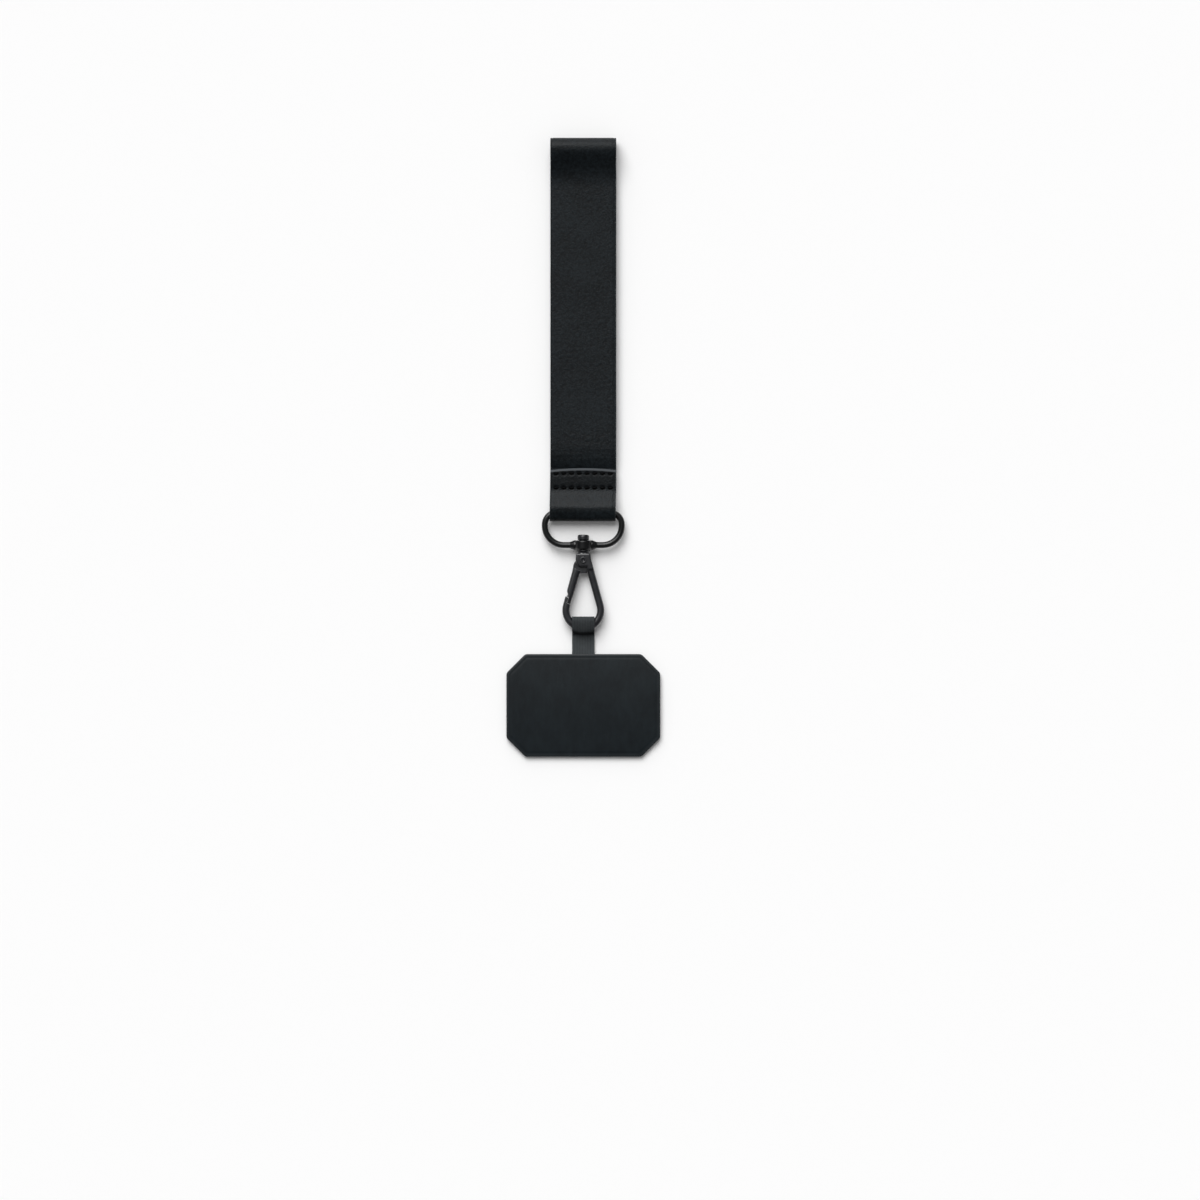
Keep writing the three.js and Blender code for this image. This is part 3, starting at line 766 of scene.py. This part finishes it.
@dataclass(frozen=True)
class SpringSteel(Finish):
    """Bright drawn wire with fine lines along it."""

    slot: str = "spring_steel"
    low: Colour = (128, 131, 134)
    high: Colour = (176, 178, 181)

    def material(self) -> bpy.types.Material:
        """Builds the wire.

        Returns:
            The material.
        """
        p = Palette(self.label)
        drawn = p.noise(0.05, 3.0, 0.7, p.place((1000.0, 1000.0, 5200.0)))
        stain = p.noise(0.9, 3.0)
        tone = p.between(drawn * 0.5 + stain * 0.5, 0.3, 0.7)
        colour = p.blend(tone, linear(self.low), linear(self.high))
        rough = 0.24 + drawn * 0.16
        return p.done(Base_Color=colour, Roughness=rough, Metallic=1.0, Normal=p.bump(drawn, 0.004))


@dataclass(frozen=True)
class RibbedTape(Finish):
    """Dull grey woven tape: lengthwise ribs crossed by a fine weft, with painted shade in the rib
    grooves, where the loop bends down and over its top.
    """

    slot: str = "woven_tape"
    low: Colour = (36, 39, 41)
    high: Colour = (74, 78, 80)
    # colour of the painted shade where the loop bends and over its top
    painted_dark: Colour = (8, 9, 11)
    weft: float = 0.34
    rib: float = 0.62
    shine: float = 0.1

    def material(self) -> bpy.types.Material:
        """Builds the weave.

        Returns:
            The material.
        """
        p = Palette(self.label)
        along, across, ridge, press = map(p.number, ("along", "across", "ridge", "press"))
        shift = p.sine(across * (math.pi / self.rib))
        phase = along * (2 * math.pi / self.weft) + shift * 1.4
        weave = p.sine(phase) * 0.5 + 0.5
        fibre = p.noise(0.09, 3.0, 0.65)
        patch = p.noise(2.4, 2.0)
        # ridge lightens the rib crests and darkens the grooves between them: painted shade in the
        # grooves
        tone = p.between(ridge * 0.35 + weave * 0.25 + fibre * 0.45 + patch * 0.25, 0.15, 1.0)
        face = p.blend(tone, linear(self.low), linear(self.high))
        # painted shade: darker where the loop bends down and, fainter, over its top
        colour = p.blend(press, face, linear(self.painted_dark))
        normal = p.bump(fibre, 0.015, p.bump(weave * (0.4 + 0.6 * ridge), 0.045))
        rough = 0.72 + fibre * 0.14
        return p.done(Base_Color=colour, Roughness=rough, Normal=normal, Specular_IOR_Level=self.shine)


@dataclass(frozen=True)
class MattSheet(Finish):
    """Smooth matt sheet with a faint grain, light handling marks and a paler cut edge."""

    slot: str = "pad_sheet"
    low: Colour = (12, 18, 22)
    high: Colour = (20, 28, 32)
    edge: Colour = (46, 50, 53)
    shine: float = 0.24

    def material(self) -> bpy.types.Material:
        """Builds the sheet.

        Returns:
            The material.
        """
        p = Palette(self.label)
        fine = p.noise(0.16, 3.0, 0.55)
        cloud = p.noise(11.0, 3.0)
        rubs = p.between(p.noise(1.3, 4.0, 0.7, p.place((1000.0, 160.0, 1000.0))), 0.56, 0.74)
        drag = p.noise(2.2, 4.0, 0.6, p.place((1000.0, 420.0, 1000.0)))
        rim = p.number("rim")
        tone = p.between(cloud * 0.4 + fine * 0.2 + drag * 0.4, 0.32, 0.68)
        face = p.blend(tone, linear(self.low), linear(self.high))
        marked = p.blend(rubs * 0.12, face, linear(self.edge))
        colour = p.blend(rim * 0.6, marked, linear(self.edge))
        rough = 0.36 + fine * 0.08 + cloud * 0.06 - rubs * 0.05
        normal = p.bump(fine, 0.014, p.bump(drag, 0.05))
        return p.done(Base_Color=colour, Roughness=rough, Normal=normal, Specular_IOR_Level=self.shine)


@dataclass(frozen=True)
class Bend:
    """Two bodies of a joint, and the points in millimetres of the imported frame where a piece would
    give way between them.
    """

    first: str
    second: str
    start: Point
    end: Point

    def apply(self, piece: bpy.types.Object) -> None:
        """Bakes the piece's place into its mesh; start and end are turned into metres and not used
        further.
        """
        start, end = (tuple(c * MM for c in place) for place in (self.start, self.end))
        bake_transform(piece)


def dress(
    piece: bpy.types.Object, finish: Finish, body: str | Bend, *nodes: str
) -> bpy.types.Object:
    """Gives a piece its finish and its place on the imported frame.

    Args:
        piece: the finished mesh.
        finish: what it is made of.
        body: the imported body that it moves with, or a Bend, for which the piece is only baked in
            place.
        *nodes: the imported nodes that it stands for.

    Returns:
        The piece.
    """
    material = bpy.data.materials.get(finish.label) or finish.material()
    piece.data.materials.clear()
    piece.data.materials.append(material)
    if isinstance(body, Bend):
        body.apply(piece)
    else:
        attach(piece, body)
    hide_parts(*nodes)
    return piece


# --- Sub-assemblies ---


class Row(Enum):
    """A row of stitches, with its distance above the ring's bar."""

    LOWER = 9.6
    UPPER = 15.2


@dataclass
class Stitching:
    """One row of stitches through the strap's three layers."""

    count: int = 8
    pitch: float = 3.0
    length: float = 1.6
    radius: float = 0.42
    top_z: float = 3.98
    low_z: float = 0.5
    end_z: float = 2.2
    lobes: float = 0.14
    lay: float = 1.5

    def centres(self) -> np.ndarray:
        """Each stitch's middle across the strap."""
        return (np.arange(self.count) - (self.count - 1) / 2) * self.pitch

    def route(self, row: Row) -> np.ndarray:
        """The thread's way in and out of the strap.

        Args:
            row: which row it is.

        Returns:
            Points on it, a tenth of a millimetre apart.
        """
        half, corner, inside = self.length / 2, 0.3, self.top_z - 0.5
        high, low, rising = self.top_z - 0.06, self.low_z + 0.02, self.low_z + 0.4
        first = self.centres()[0] - half
        found = [(first + 0.08, self.end_z), (first + 0.05, inside)]
        for x in self.centres():
            out, back = x + half, x - half + self.pitch
            found += [(x - half + corner, high), (x, self.top_z + 0.07), (out - corner, high)]
            found += [(out - 0.05, inside), (out, rising), (out + corner, low)]
            found += [(back - corner, low), (back, rising), (back + 0.05, inside)]
        found = [*found[:-5], (out - 0.08, self.end_z)]
        knots = np.array(found)
        far = np.concatenate([[0], np.cumsum(np.linalg.norm(np.diff(knots, axis=0), axis=1))])
        s = np.arange(0, far[-1], 0.1)
        xz = np.stack([np.interp(s, far, knots[:, i]) for i in (0, 1)], 1)
        for _ in range(2):
            xz[1:-1] = (xz[:-2] + 2 * xz[1:-1] + xz[2:]) / 4
        return np.stack([xz[:, 0], np.full(len(s), row.value + BAR_Y), xz[:, 1]], 1)

    def build(self) -> list[bpy.types.Object]:
        """Makes both rows.

        Returns:
            The lower row and the upper one.
        """
        made = []
        for row in Row:
            thread = Skin.tube(self.route(row), self.radius, 12, self.lobes, self.lay)
            piece = thread.piece(f"stitch_row_{row.name.lower()}", 80.0)
            made.append(dress(piece, TwistedThread(), "strap", f"seam_thread_{row.name.lower()}"))
        return made


@dataclass
class WristStrap:
    """One leather tape: round the ring's bar, up the back, over the top fold and down under its tail."""

    width: float = 25.5
    thickness: float = 1.3
    reach: float = 145.1
    fold_radius: float = 2.75
    top_radius: float = 3.35
    bulge: float = 14.5
    back_z: float = 0.65
    under_z: float = 2.0
    tail_z: float = 3.35
    front_z: float = 3.4
    tail_end: float = 17.2
    rise: float = 8.6
    dive: float = 9.5
    front_end: float = 7.3
    edge_round: float = 0.3
    across: int = 74
    mark_depth: float = 0.32
    low_mark_depth: float = 0.2
    dent_depth: float = 0.44
    fold_drift: float = 0.28
    stitching: Stitching = field(default_factory=Stitching)

    def runs(self) -> list[np.ndarray]:
        """The tape's middle line from its tail to its other end, as seen from the side.

        Returns:
            Its runs, in order.
        """
        fold, front = self.fold_radius, self.front_z
        crest = PLANE_Z + fold - 0.05
        top_y = self.reach - self.top_radius - self.thickness / 2
        top_z = self.back_z + 2 * self.top_radius
        under = self.tail_end + 0.15
        rise = (self.rise, self.tail_z - 0.1)
        run_out, dive = (top_y - self.bulge, front), (under + self.dive, front)
        return [
            line((self.tail_end, self.tail_z + 0.12), rise),
            s_bend(rise, (1.5, crest), 0.24),
            bend((1.5, crest), (0.9, crest), (-fold, 5.6), (-fold, PLANE_Z)),
            arc((0, PLANE_Z), fold, 180, 270),
            line((0, self.back_z), (top_y, self.back_z)),
            arc((top_y, self.back_z + self.top_radius), self.top_radius, -90, 90),
            bend((top_y, top_z), (top_y - 3.9, top_z), (top_y - 5.4, front + 0.35), run_out),
            line(run_out, dive),
            bend(dive, (under + 6.3, front), (under + 2.6, front - 0.25), (under, self.under_z)),
            line((under, self.under_z), (self.front_end, self.under_z)),
        ]

    def gap(self, path: np.ndarray) -> np.ndarray:
        """The distance between stations: short at the sewn end and the top fold.

        Args:
            path: points on the middle line.

        Returns:
            The distance at each.
        """
        low = ease(27.0, 34.0, path[:, 0])
        high = 1.0 - ease(118.0, 126.0, path[:, 0])
        return 0.33 + 2.2 * low * high + 0.25 * (1 - high)

    def section(self) -> tuple[np.ndarray, np.ndarray, np.ndarray]:
        """The tape's outline.

        Returns:
            For each of its points the place across, the place through, and 1 if it is on an edge.
        """
        r, half, t, n = self.edge_round, self.width / 2, self.thickness / 2, self.across
        flat = np.linspace(-(half - r), half - r, n)
        turn = np.radians(np.array([78.0, 50.0, 22.0, 0.0]))
        rim_u, rim_v = half - r + r * np.cos(turn), t - r + r * np.sin(turn)
        u = np.concatenate([flat, rim_u, rim_u[::-1], flat[::-1], -rim_u, -rim_u[::-1]])
        v = np.concatenate([np.full(n, t), rim_v, -rim_v[::-1], np.full(n, -t), -rim_v, rim_v[::-1]])
        return u, v, np.tile(np.repeat([0.0, 1.0], [n, 2 * len(turn)]), 2)

    def stitch_marks(self, y: np.ndarray, x: np.ndarray, shift: float, half: float) -> np.ndarray:
        """Where the stitches press into a face.

        Args:
            y: distance above the bar.
            x: distance from the strap's middle.
            shift: how far these marks lie from the stitches' middles.
            half: a mark's half length.

        Returns:
            From 0 to 1 at each point.
        """
        found = np.zeros(np.broadcast(y, x).shape)
        for row in Row:
            for centre in self.stitching.centres():
                oval = ((x - centre - shift) / half) ** 2 + ((y - row.value) / 0.8) ** 2
                found = np.maximum(found, np.exp(-(oval**2)))
        return found

    def sewn(
        self, y: np.ndarray, z: np.ndarray, far: np.ndarray, x: np.ndarray, face: np.ndarray
    ) -> tuple[np.ndarray, np.ndarray]:
        """What the stitches do to the faces.

        Args:
            y: distance above the bar.
            z: height.
            far: distance along the tape.
            x: distance from its middle.
            face: 1 on the outer face, -1 on the inner one, 0 on an edge.

        Returns:
            How far each point rises, and how much painted shade it gets.
        """
        tail = (1.0 - ease(10.0, 13.0, far)) * (face > 0)
        back = ((z < 1.0) & (y < 25)) * (face > 0)
        marks = self.stitch_marks(y, x, 0.0, 0.88) * tail
        low_marks = self.stitch_marks(y, x, self.stitching.pitch / 2, 0.75) * back
        rows = sum(hump(y, row.value, 1.1) for row in Row) * tail * (abs(x) < 12.2)
        rise = -self.mark_depth * marks - self.low_mark_depth * low_marks - 0.05 * rows
        # painted shade: the stitch marks and the sewn tail from the lower row up are drawn darker
        between = 0.42 * ease(8.4, 10.6, y) * tail
        return rise, np.maximum(np.maximum(marks, low_marks), between)

    def worn(self, far: np.ndarray, x: np.ndarray, face: np.ndarray, length: float) -> np.ndarray:
        """The line pressed along both edges, and the small waves where the tape is bent.

        Args:
            far: distance along the tape.
            x: distance from its middle.
            face: 1 on the outer face, -1 on the inner one, 0 on an edge.
            length: the tape's length.

        Returns:
            How far each point rises.
        """
        half = self.width / 2
        lines = 0.13 * hump(abs(x), half - 0.75, 0.26) + 0.05 * hump(abs(x), half - 0.2, 0.25)
        front = ease(248.0, 270.0, far) * (1 - ease(length - 16.0, length - 11.0, far))
        size = 0.022 * front + 0.006 * hump(far, 186.0, 12.0) + 0.02 * hump(far, 15.0, 4.0) + 0.004
        waves = size * ripple(4, far, x, 2.6) + 0.02 * ripple(9, far, x * 0.3, 21.0)
        return waves * face - lines * (face != 0)

    def build(self) -> list[bpy.types.Object]:
        """Makes the tape and its stitches.

        Returns:
            The tape and both rows.
        """
        at, way, s = stations(self.runs(), self.gap)
        across, through, edge = self.section()
        length = s[-1]
        y, z = at[:, :1], at[:, 1:]
        out = np.stack([way[:, 1], -way[:, 0]], 1)
        far, x, v, edge = s[:, None], across[None, :], through[None, :], edge[None, :]
        face = np.where(edge > 0, 0.0, np.sign(v))
        ends = np.minimum(far, length - far)
        sewn, press = self.sewn(y, z, far, x, face)
        wave = 1 + 0.0022 * ripple(12, far, x * 0.02, 17.0) * np.where(x > 0, 1.0, 0.55)
        drift = -self.fold_drift * hump(far, 19.0, 13.0)
        at_bar = 1 - ease(2.9, 4.4, np.hypot(y, z - PLANE_Z))
        dent = self.dent_depth * ease(10.6, 12.6, abs(x + drift)) * at_bar * (v < 0)
        skive = 0.8 * np.clip(1 - far / 0.75, 0, 1) * (face >= 0) * (v > 0)
        thin = 1 - 0.28 * np.clip(1 - ends / 0.22, 0, 1) ** 2
        rise = (v + sewn + self.worn(far, x, face, length) + dent - skive) * thin
        bow = 0.75 * (1 - ease(0.0, 5.0, far)) - 0.3 * ease(length - 5, length, far)
        slip = bow * (x / (self.width / 2)) ** 2
        yy = y + out[:, :1] * rise + way[:, :1] * slip
        zz = np.maximum(z + out[:, 1:] * rise + way[:, 1:] * slip, 0.0)
        sections = np.stack([np.broadcast_to(x * wave + drift, yy.shape), yy + BAR_Y, zz], 2)
        bare = np.maximum(edge * 0.4, ((far < 0.7) | (ends < 0.2)) * 1.0)
        values = {k: np.broadcast_to(n, yy.shape) for k, n in (("cut", bare), ("press", press))}
        piece = Skin.lofted(sections, values).piece("wrist_strap_tape", 50.0)
        return [dress(piece, PebbledLeather(), "strap", "wrist_strap"), *self.stitching.build()]


@dataclass
class SwivelRing:
    """A cast ring with a bored boss in its lower side."""

    wire: float = 1.2
    half_width: float = 14.9
    drop: float = 12.6
    upper_corner: float = 4.6
    lower_corner: float = 7.5
    bore: float = 1.6
    boss: float = 3.4
    boss_half: float = 1.825
    chamfer: float = 0.45
    lug: tuple[tuple[float, float], ...] = ((1.0, 2.0), (1.9, 2.0), (1.9, 3.5), (1.26, 5.1), (1.0, 5.1))

    def build(self) -> list[bpy.types.Object]:
        """Makes the ring.

        Returns:
            The one casting.
        """
        up, low = self.half_width - self.upper_corner, self.half_width - self.lower_corner
        floor_y = -self.drop + self.lower_corner
        inside = (self.bore + self.boss) / 2
        runs = [
            line((-inside, -self.drop), (-low, -self.drop)),
            arc((-low, floor_y), self.lower_corner, 270, 180),
            line((-self.half_width, floor_y), (-self.half_width, -self.upper_corner)),
            arc((-up, -self.upper_corner), self.upper_corner, 180, 90),
            line((-up, 0), (up, 0)),
            arc((up, -self.upper_corner), self.upper_corner, 90, 0),
            line((self.half_width, -self.upper_corner), (self.half_width, floor_y)),
            arc((low, floor_y), self.lower_corner, 0, -90),
            line((low, -self.drop), (inside, -self.drop)),
        ]
        at, _, _ = stations(runs, lambda path: np.full(len(path), 0.35))
        wire = Skin.tube(np.column_stack([at, np.zeros(len(at))]), self.wire, 36)
        h, c, r = self.boss_half, self.chamfer, self.boss
        wall = [(self.bore, -h), (r - c, -h), (r, -h + c), (r, h - c), (r - c, h), (self.bore, h)]
        barrel = Skin.turned(wall, 72, hollow=True)
        skin = wire.joined(barrel.moved(y=-self.drop))
        for side in (-1, 1):
            lug = Skin.turned(list(self.lug), 48)
            lug.points = np.stack([side * lug.points[:, 1], lug.points[:, 0], lug.points[:, 2]], 1)
            skin = skin.joined(lug.moved(y=-self.drop))
        form = skin.moved(y=BAR_Y, z=PLANE_Z).mesh("ring_form", 1.0)
        piece = cast("swivel_ring_casting", form, 0.15, 7)
        coat = SatinCoat(tag="ring_finish", low=(8, 9, 10), high=(17, 18, 19), gloss=0.22, shine=0.46)
        return [dress(piece, coat, "ring", "swivel_ring")]


@dataclass
class SnapHook:
    """The hook's casting with its rivet and spring, and the gate that turns on the rivet."""

    skin: float = 0.14
    rounds: int = 5
    rivet_y: float = -43.6625
    spring_wire: float = 0.28
    tip_out: float = 0.13
    tip_away: float = 0.2
    notch: float = 0.8

    def seat(self, gate: bpy.types.Object) -> None:
        """Brings the gate's tip close to the nose and cuts the thumb notch on its outer side.

        Args:
            gate: the gate's casting.
        """
        flat = np.empty(len(gate.data.vertices) * 3, np.float32)
        gate.data.vertices.foreach_get("co", flat)
        p = flat.reshape(-1, 3) / MM
        arm = p[:, :2] - np.array([0.0, self.rivet_y])
        r = np.linalg.norm(arm, axis=1)
        away = arm / np.maximum(r, 0.1)[:, None]
        out = np.stack([away[:, 1], -away[:, 0]], 1)
        p[:, :2] += out * (self.tip_out * ease(14.2, 15.4, r))[:, None]
        p[:, :2] += away * (self.tip_away * ease(14.0, 15.2, r))[:, None]
        angle = np.degrees(np.arctan2(-arm[:, 0], -arm[:, 1]))
        tip = angle[(r > 12.5) & (r < 15.0)]
        share = (angle - tip.min()) / (tip.max() - tip.min())
        notch = hump(r, 14.75, 0.85) * ease(0.25, 0.9, share) * (r > 10)
        p[:, :2] -= out * (self.notch * notch)[:, None]
        gate.data.vertices.foreach_set("co", (p * MM).astype(np.float32).ravel())
        gate.data.update()

    def build(self, nodes: dict[str, bpy.types.Object]) -> list[bpy.types.Object]:
        """Makes the four pieces.

        Args:
            nodes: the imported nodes.

        Returns:
            The pieces.
        """
        coat = SatinCoat()
        gate = cast_from("gate_casting", nodes["gate_lever"], 0.11, self.rounds)
        self.seat(gate)
        low, high = (corner[2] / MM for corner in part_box("gate_spring"))
        wire = self.spring_wire
        coil = Bend("gate", "hook", (0.0, 0.0, low + wire), (0.0, 0.0, high - wire))
        hook = cast_from("hook_casting", nodes["hook_body"], self.skin, self.rounds)
        rivet = cast_from("gate_rivet_peened", nodes["gate_rivet"], 0.07, 4)
        spring = cast_from("gate_spring_wire", nodes["gate_spring"], 0.045, 4)
        return [
            dress(hook, coat, "hook", "hook_body"),
            dress(gate, coat, "gate", "gate_lever"),
            dress(rivet, SatinCoat("rivet_metal", wear=0.5), "hook", "gate_rivet"),
            dress(spring, SpringSteel(), coil, "gate_spring"),
        ]


def bow(y: np.ndarray) -> np.ndarray:
    """How far the tab, and the tape's ends in it, arch off the floor.

    Args:
        y: places along the lanyard.

    Returns:
        The rise at each place.
    """
    return 0.7 * np.clip(1 - ((y + 99.96) / 19.9) ** 2, 0, 1)


@dataclass
class TetherTape:
    """A narrow woven tape, looped round the hook's lowest bend, with both its ends in the tab."""

    width: float = 8.7
    thickness: float = 0.45
    rib: float = 0.62
    hook_end: float = -71.2125
    in_tab: float = 30.85
    low_z: float = 0.625
    high_z: float = 1.075

    def runs(self) -> list[np.ndarray]:
        """The tape's middle line as seen from the side: over the bend first.

        Returns:
            Its runs, in order.
        """
        return [
            line((-self.in_tab, self.high_z), (-1.9, self.high_z)),
            bend((-1.9, self.high_z), (-1.1, self.high_z), (-0.75, 1.75), (-0.66, 2.9)),
            arc((1.4, 3.4), 2.12, 193.6, 122.0),
            bend((0.2766, 5.1979), (1.5, 5.96), (2.8, 6.5), (4.2, 6.5)),
            arc((4.2, 5.189), 1.311, 90, 0),
            line((5.511, 5.189), (5.511, 3.05)),
            arc((3.686, 3.05), 1.825, 0, -90),
            line((3.686, 1.225), (0.92, 1.225)),
            bend((0.92, 1.225), (-2.6, 0.625), (-3.4, 0.625), (-4.8, self.low_z)),
            line((-4.8, self.low_z), (-self.in_tab, self.low_z)),
        ]

    def build(self) -> list[bpy.types.Object]:
        """Makes the tape.

        Returns:
            The one piece.
        """
        at, way, s = stations(
            self.runs(), lambda path: 0.24 + 2.0 * (1 - ease(-13.0, -10.0, path[:, 0]))
        )
        half = self.width / 2
        u = np.linspace(-half + 0.1, half - 0.1, 99)
        ridge = np.abs(np.cos(math.pi * u / self.rib)) ** 0.8
        band = np.maximum(ridge, ease(half - 0.62, half - 0.4, abs(u)))
        v = 0.15 + 0.07 * band
        x = np.concatenate([u, [half], u[::-1], [-half]])[None, :]
        through = np.concatenate([v, [0.0], -v[::-1], [0.0]])[None, :]
        ridges = np.concatenate([band, [0.6], band[::-1], [0.6]])[None, :]
        out = np.stack([-way[:, 1], way[:, 0]], 1)
        y, z, far = at[:, :1], at[:, 1:], s[:, None]
        held = ease(-1.6, -0.6, y) * (1 - ease(2.6, 4.6, y)) * ease(1.1, 2.2, z)
        follow = 0.85 * (x / half) ** 2 * held
        sag = 0.035 * ripple(21, far, x * 0.4, 5.0) * ease(-9.0, -7.0, y) * (1 - ease(-1.0, 0.5, y))
        wave = 1 + 0.004 * ripple(23, far, x * 0.02, 6.0)
        yy = y + out[:, :1] * through + follow
        zz = z + out[:, 1:] * through + sag
        zz = zz + bow(yy + self.hook_end)
        sections = np.stack([np.broadcast_to(x * wave, yy.shape), yy + self.hook_end, zz], 2)
        # painted shade on the loop's bend and, fainter, over the loop's top
        press = 0.8 * hump(y, -0.75, 0.75) * (z > 1.0) + 0.3 * ease(-0.3, 0.6, y) * (z > 2.0)
        numbers = {"along": far, "across": x, "ridge": ridges, "press": press}
        values = {k: np.broadcast_to(n, yy.shape) for k, n in numbers.items()}
        piece = Skin.lofted(sections, values).piece("tether_tape_weave", 70.0)
        start, end = self.hook_end + 0.3, self.hook_end - 2.6
        give = Bend("hook", "tab", (0.0, start, PLANE_Z), (0.0, end, PLANE_Z))
        return [dress(piece, RibbedTape(), give, "tether_tape")]


class Sheet(Enum):
    """One of the tab's two sheets, with its lower face's height."""

    BACK = 0.0
    FRONT = 0.85


@dataclass
class AnchorTab:
    """Two thin chamfered sheets, pressed together along their rim."""

    width: float = 59.6
    length: float = 39.8
    top_y: float = -80.0625
    cut: float = 7.3
    thickness: float = 0.85
    corner: float = 0.9
    edge_round: float = 0.16
    groove: float = 0.05
    insets: tuple[float, ...] = (19.8, 18.0, 15.0, 12.0, 9.0, 6.5, 4.0, 2.4, 1.65, 1.05)

    def outline(self, inset: float) -> np.ndarray:
        """The tab's rim, with soft corners.

        Args:
            inset: how far inside the cut edge it runs.

        Returns:
            Its points.
        """
        x, y, d = self.width / 2, self.length / 2, inset
        k = max(self.cut + d * (math.sqrt(2) - 2), 0.02)
        a, b = x - d, y - d
        low = [(-a, -b + k), (-a + k, -b), (a - k, -b), (a, -b + k)]
        corners = low + [(-x, -y) for x, y in low]
        points, c = [], max(self.corner - d * 0.4, 0.005)
        for i, here in enumerate(corners):
            p = np.array(here)
            before, after = np.array(corners[i - 1]), np.array(corners[(i + 1) % 8])
            start = p + (before - p) / np.linalg.norm(before - p) * c
            end = p + (after - p) / np.linalg.norm(after - p) * c
            for t in np.linspace(0, 1, 5):
                points.append(start * (1 - t) ** 2 + 2 * p * t * (1 - t) + end * t * t)
            further = after + (p - after) / np.linalg.norm(p - after) * c
            points += [end + (further - end) * t for t in np.linspace(0, 1, 9)[1:-1]]
        return np.array(points)

    def build(self) -> list[bpy.types.Object]:
        """Makes both sheets.

        Returns:
            The back sheet and the front one.
        """
        made = []
        for sheet in Sheet:
            t, r = self.thickness, self.edge_round
            flat = [(d, 0.0) for d in self.insets]
            steps = [*flat[:-1], (1.35, self.groove), flat[-1], (r, 0.0), (r * 0.3, r * 0.3), (0.0, r)]
            loops = [(d, z) for d, z in steps] + [(d, t - z) for d, z in reversed(steps)]
            sections, rims = [], []
            for d, z in loops:
                rim = self.outline(d)
                y = rim[:, 1] + self.top_y - self.length / 2
                sections.append(np.column_stack([rim[:, 0], y, sheet.value + z + bow(y)]))
                rims.append(np.full(len(rim), 1.0 if d <= r else 0.0))
            skin, name = Skin.lofted(np.array(sections), {"rim": np.array(rims)}), sheet.name.lower()
            piece = skin.piece(f"tab_sheet_{name}", 34.0)
            made.append(dress(piece, MattSheet(), "tab", f"pad_{name}_sheet"))
        return made


# --- Studio ---


@dataclass
class Studio:
    """A white floor, a soft light from above the strap's fold, and a camera that looks straight down."""

    aim: tuple[float, float] = (6.47, -59.1)
    across: float = 465.1
    height: float = 2000.0
    sensor: float = 36.0
    floor_half: float = 12.0
    fill: float = 0.27
    gloss_loss: float = 0.15
    key: float = 0.58
    low_key: float = 0.16
    toward_key: Point = (-0.26, 0.76, 1.0)
    softness: float = 46.0
    toward_low_key: Point = (-0.35, 1.9, 1.0)
    low_softness: float = 50.0

    def floor(self) -> None:
        """Lays the floor."""
        mesh = bpy.data.meshes.new("studio_floor")
        r = self.floor_half
        mesh.from_pydata([(-r, -r, 0), (r, -r, 0), (r, r, 0), (-r, r, 0)], [], [(0, 1, 2, 3)])
        floor = bpy.data.objects.new("studio_floor", mesh)
        floor.location = (0, 0, -0.00002)
        bpy.context.scene.collection.objects.link(floor)
        p = Palette("studio_white")
        white = (0.97, 0.97, 0.97, 1.0)
        mesh.materials.append(p.done(Base_Color=white, Roughness=0.95, Specular_IOR_Level=0.0))

    def lights(self) -> None:
        """Sets the world and both lamps."""
        world = bpy.data.worlds.new("studio")
        bpy.context.scene.world = world
        world.use_nodes = True
        tree = world.node_tree
        path = tree.nodes.new("ShaderNodeLightPath")
        seen = Value(path.outputs["Is Camera Ray"]).top(Value(path.outputs["Is Transmission Ray"]))
        dim = Value(path.outputs["Is Glossy Ray"]) * self.gloss_loss
        strength = seen * (1.0 - self.fill) + self.fill - dim
        sky = tree.nodes["Background"]
        sky.inputs["Color"].default_value = (1.0, 1.0, 1.0, 1.0)
        tree.links.new(strength.socket, sky.inputs["Strength"])
        self.lamp("key", self.key, self.toward_key, self.softness)
        self.lamp("low_key", self.low_key, self.toward_low_key, self.low_softness)

    def lamp(self, name: str, share: float, toward: Point, softness: float) -> None:
        """Adds one wide, even light.

        Args:
            name: the lamp's name.
            share: its share of the light that falls on the floor.
            toward: the direction towards it.
            softness: how wide it looks, in degrees.
        """
        lamp = bpy.data.lights.new(name, "SUN")
        lamp.angle = math.radians(softness)
        way = Vector(toward).normalized()
        lamp.energy = share * math.pi / way.z
        holder = bpy.data.objects.new(name, lamp)
        holder.rotation_mode = "QUATERNION"
        holder.rotation_quaternion = way.to_track_quat("Z", "Y")
        bpy.context.scene.collection.objects.link(holder)

    def camera(self) -> None:
        """Hangs the camera over the lanyard."""
        data = bpy.data.cameras.new("camera")
        data.sensor_width = self.sensor
        data.lens = self.sensor * self.height / self.across
        data.clip_end = 100.0
        camera = bpy.data.objects.new("camera", data)
        camera.location = (self.aim[0] * MM, self.aim[1] * MM, (self.height + 2.0) * MM)
        bpy.context.scene.collection.objects.link(camera)
        bpy.context.scene.camera = camera

    def build(self) -> None:
        """Sets up everything that isn't the lanyard."""
        bpy.context.scene.view_settings.view_transform = "Standard"
        self.floor()
        self.lights()
        self.camera()


def corners(box: tuple[Vector, Vector]) -> list[list[float]]:
    """A box's two corners as plain lists."""
    return [list(map(float, corner)) for corner in box]


def main() -> None:
    """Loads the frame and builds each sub-assembly."""
    logging.basicConfig(level=logging.INFO, format="%(name)s: %(message)s")
    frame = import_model()
    nodes = frame["nodes"]
    Studio().build()
    made = [*WristStrap().build(), *SwivelRing().build(), *SnapHook().build(nodes)]
    made += [*TetherTape().build(), *AnchorTab().build()]
    for piece in made:
        log.info("%s: %d faces", piece.name, len(piece.data.polygons))


if __name__ == "__main__":
    main()
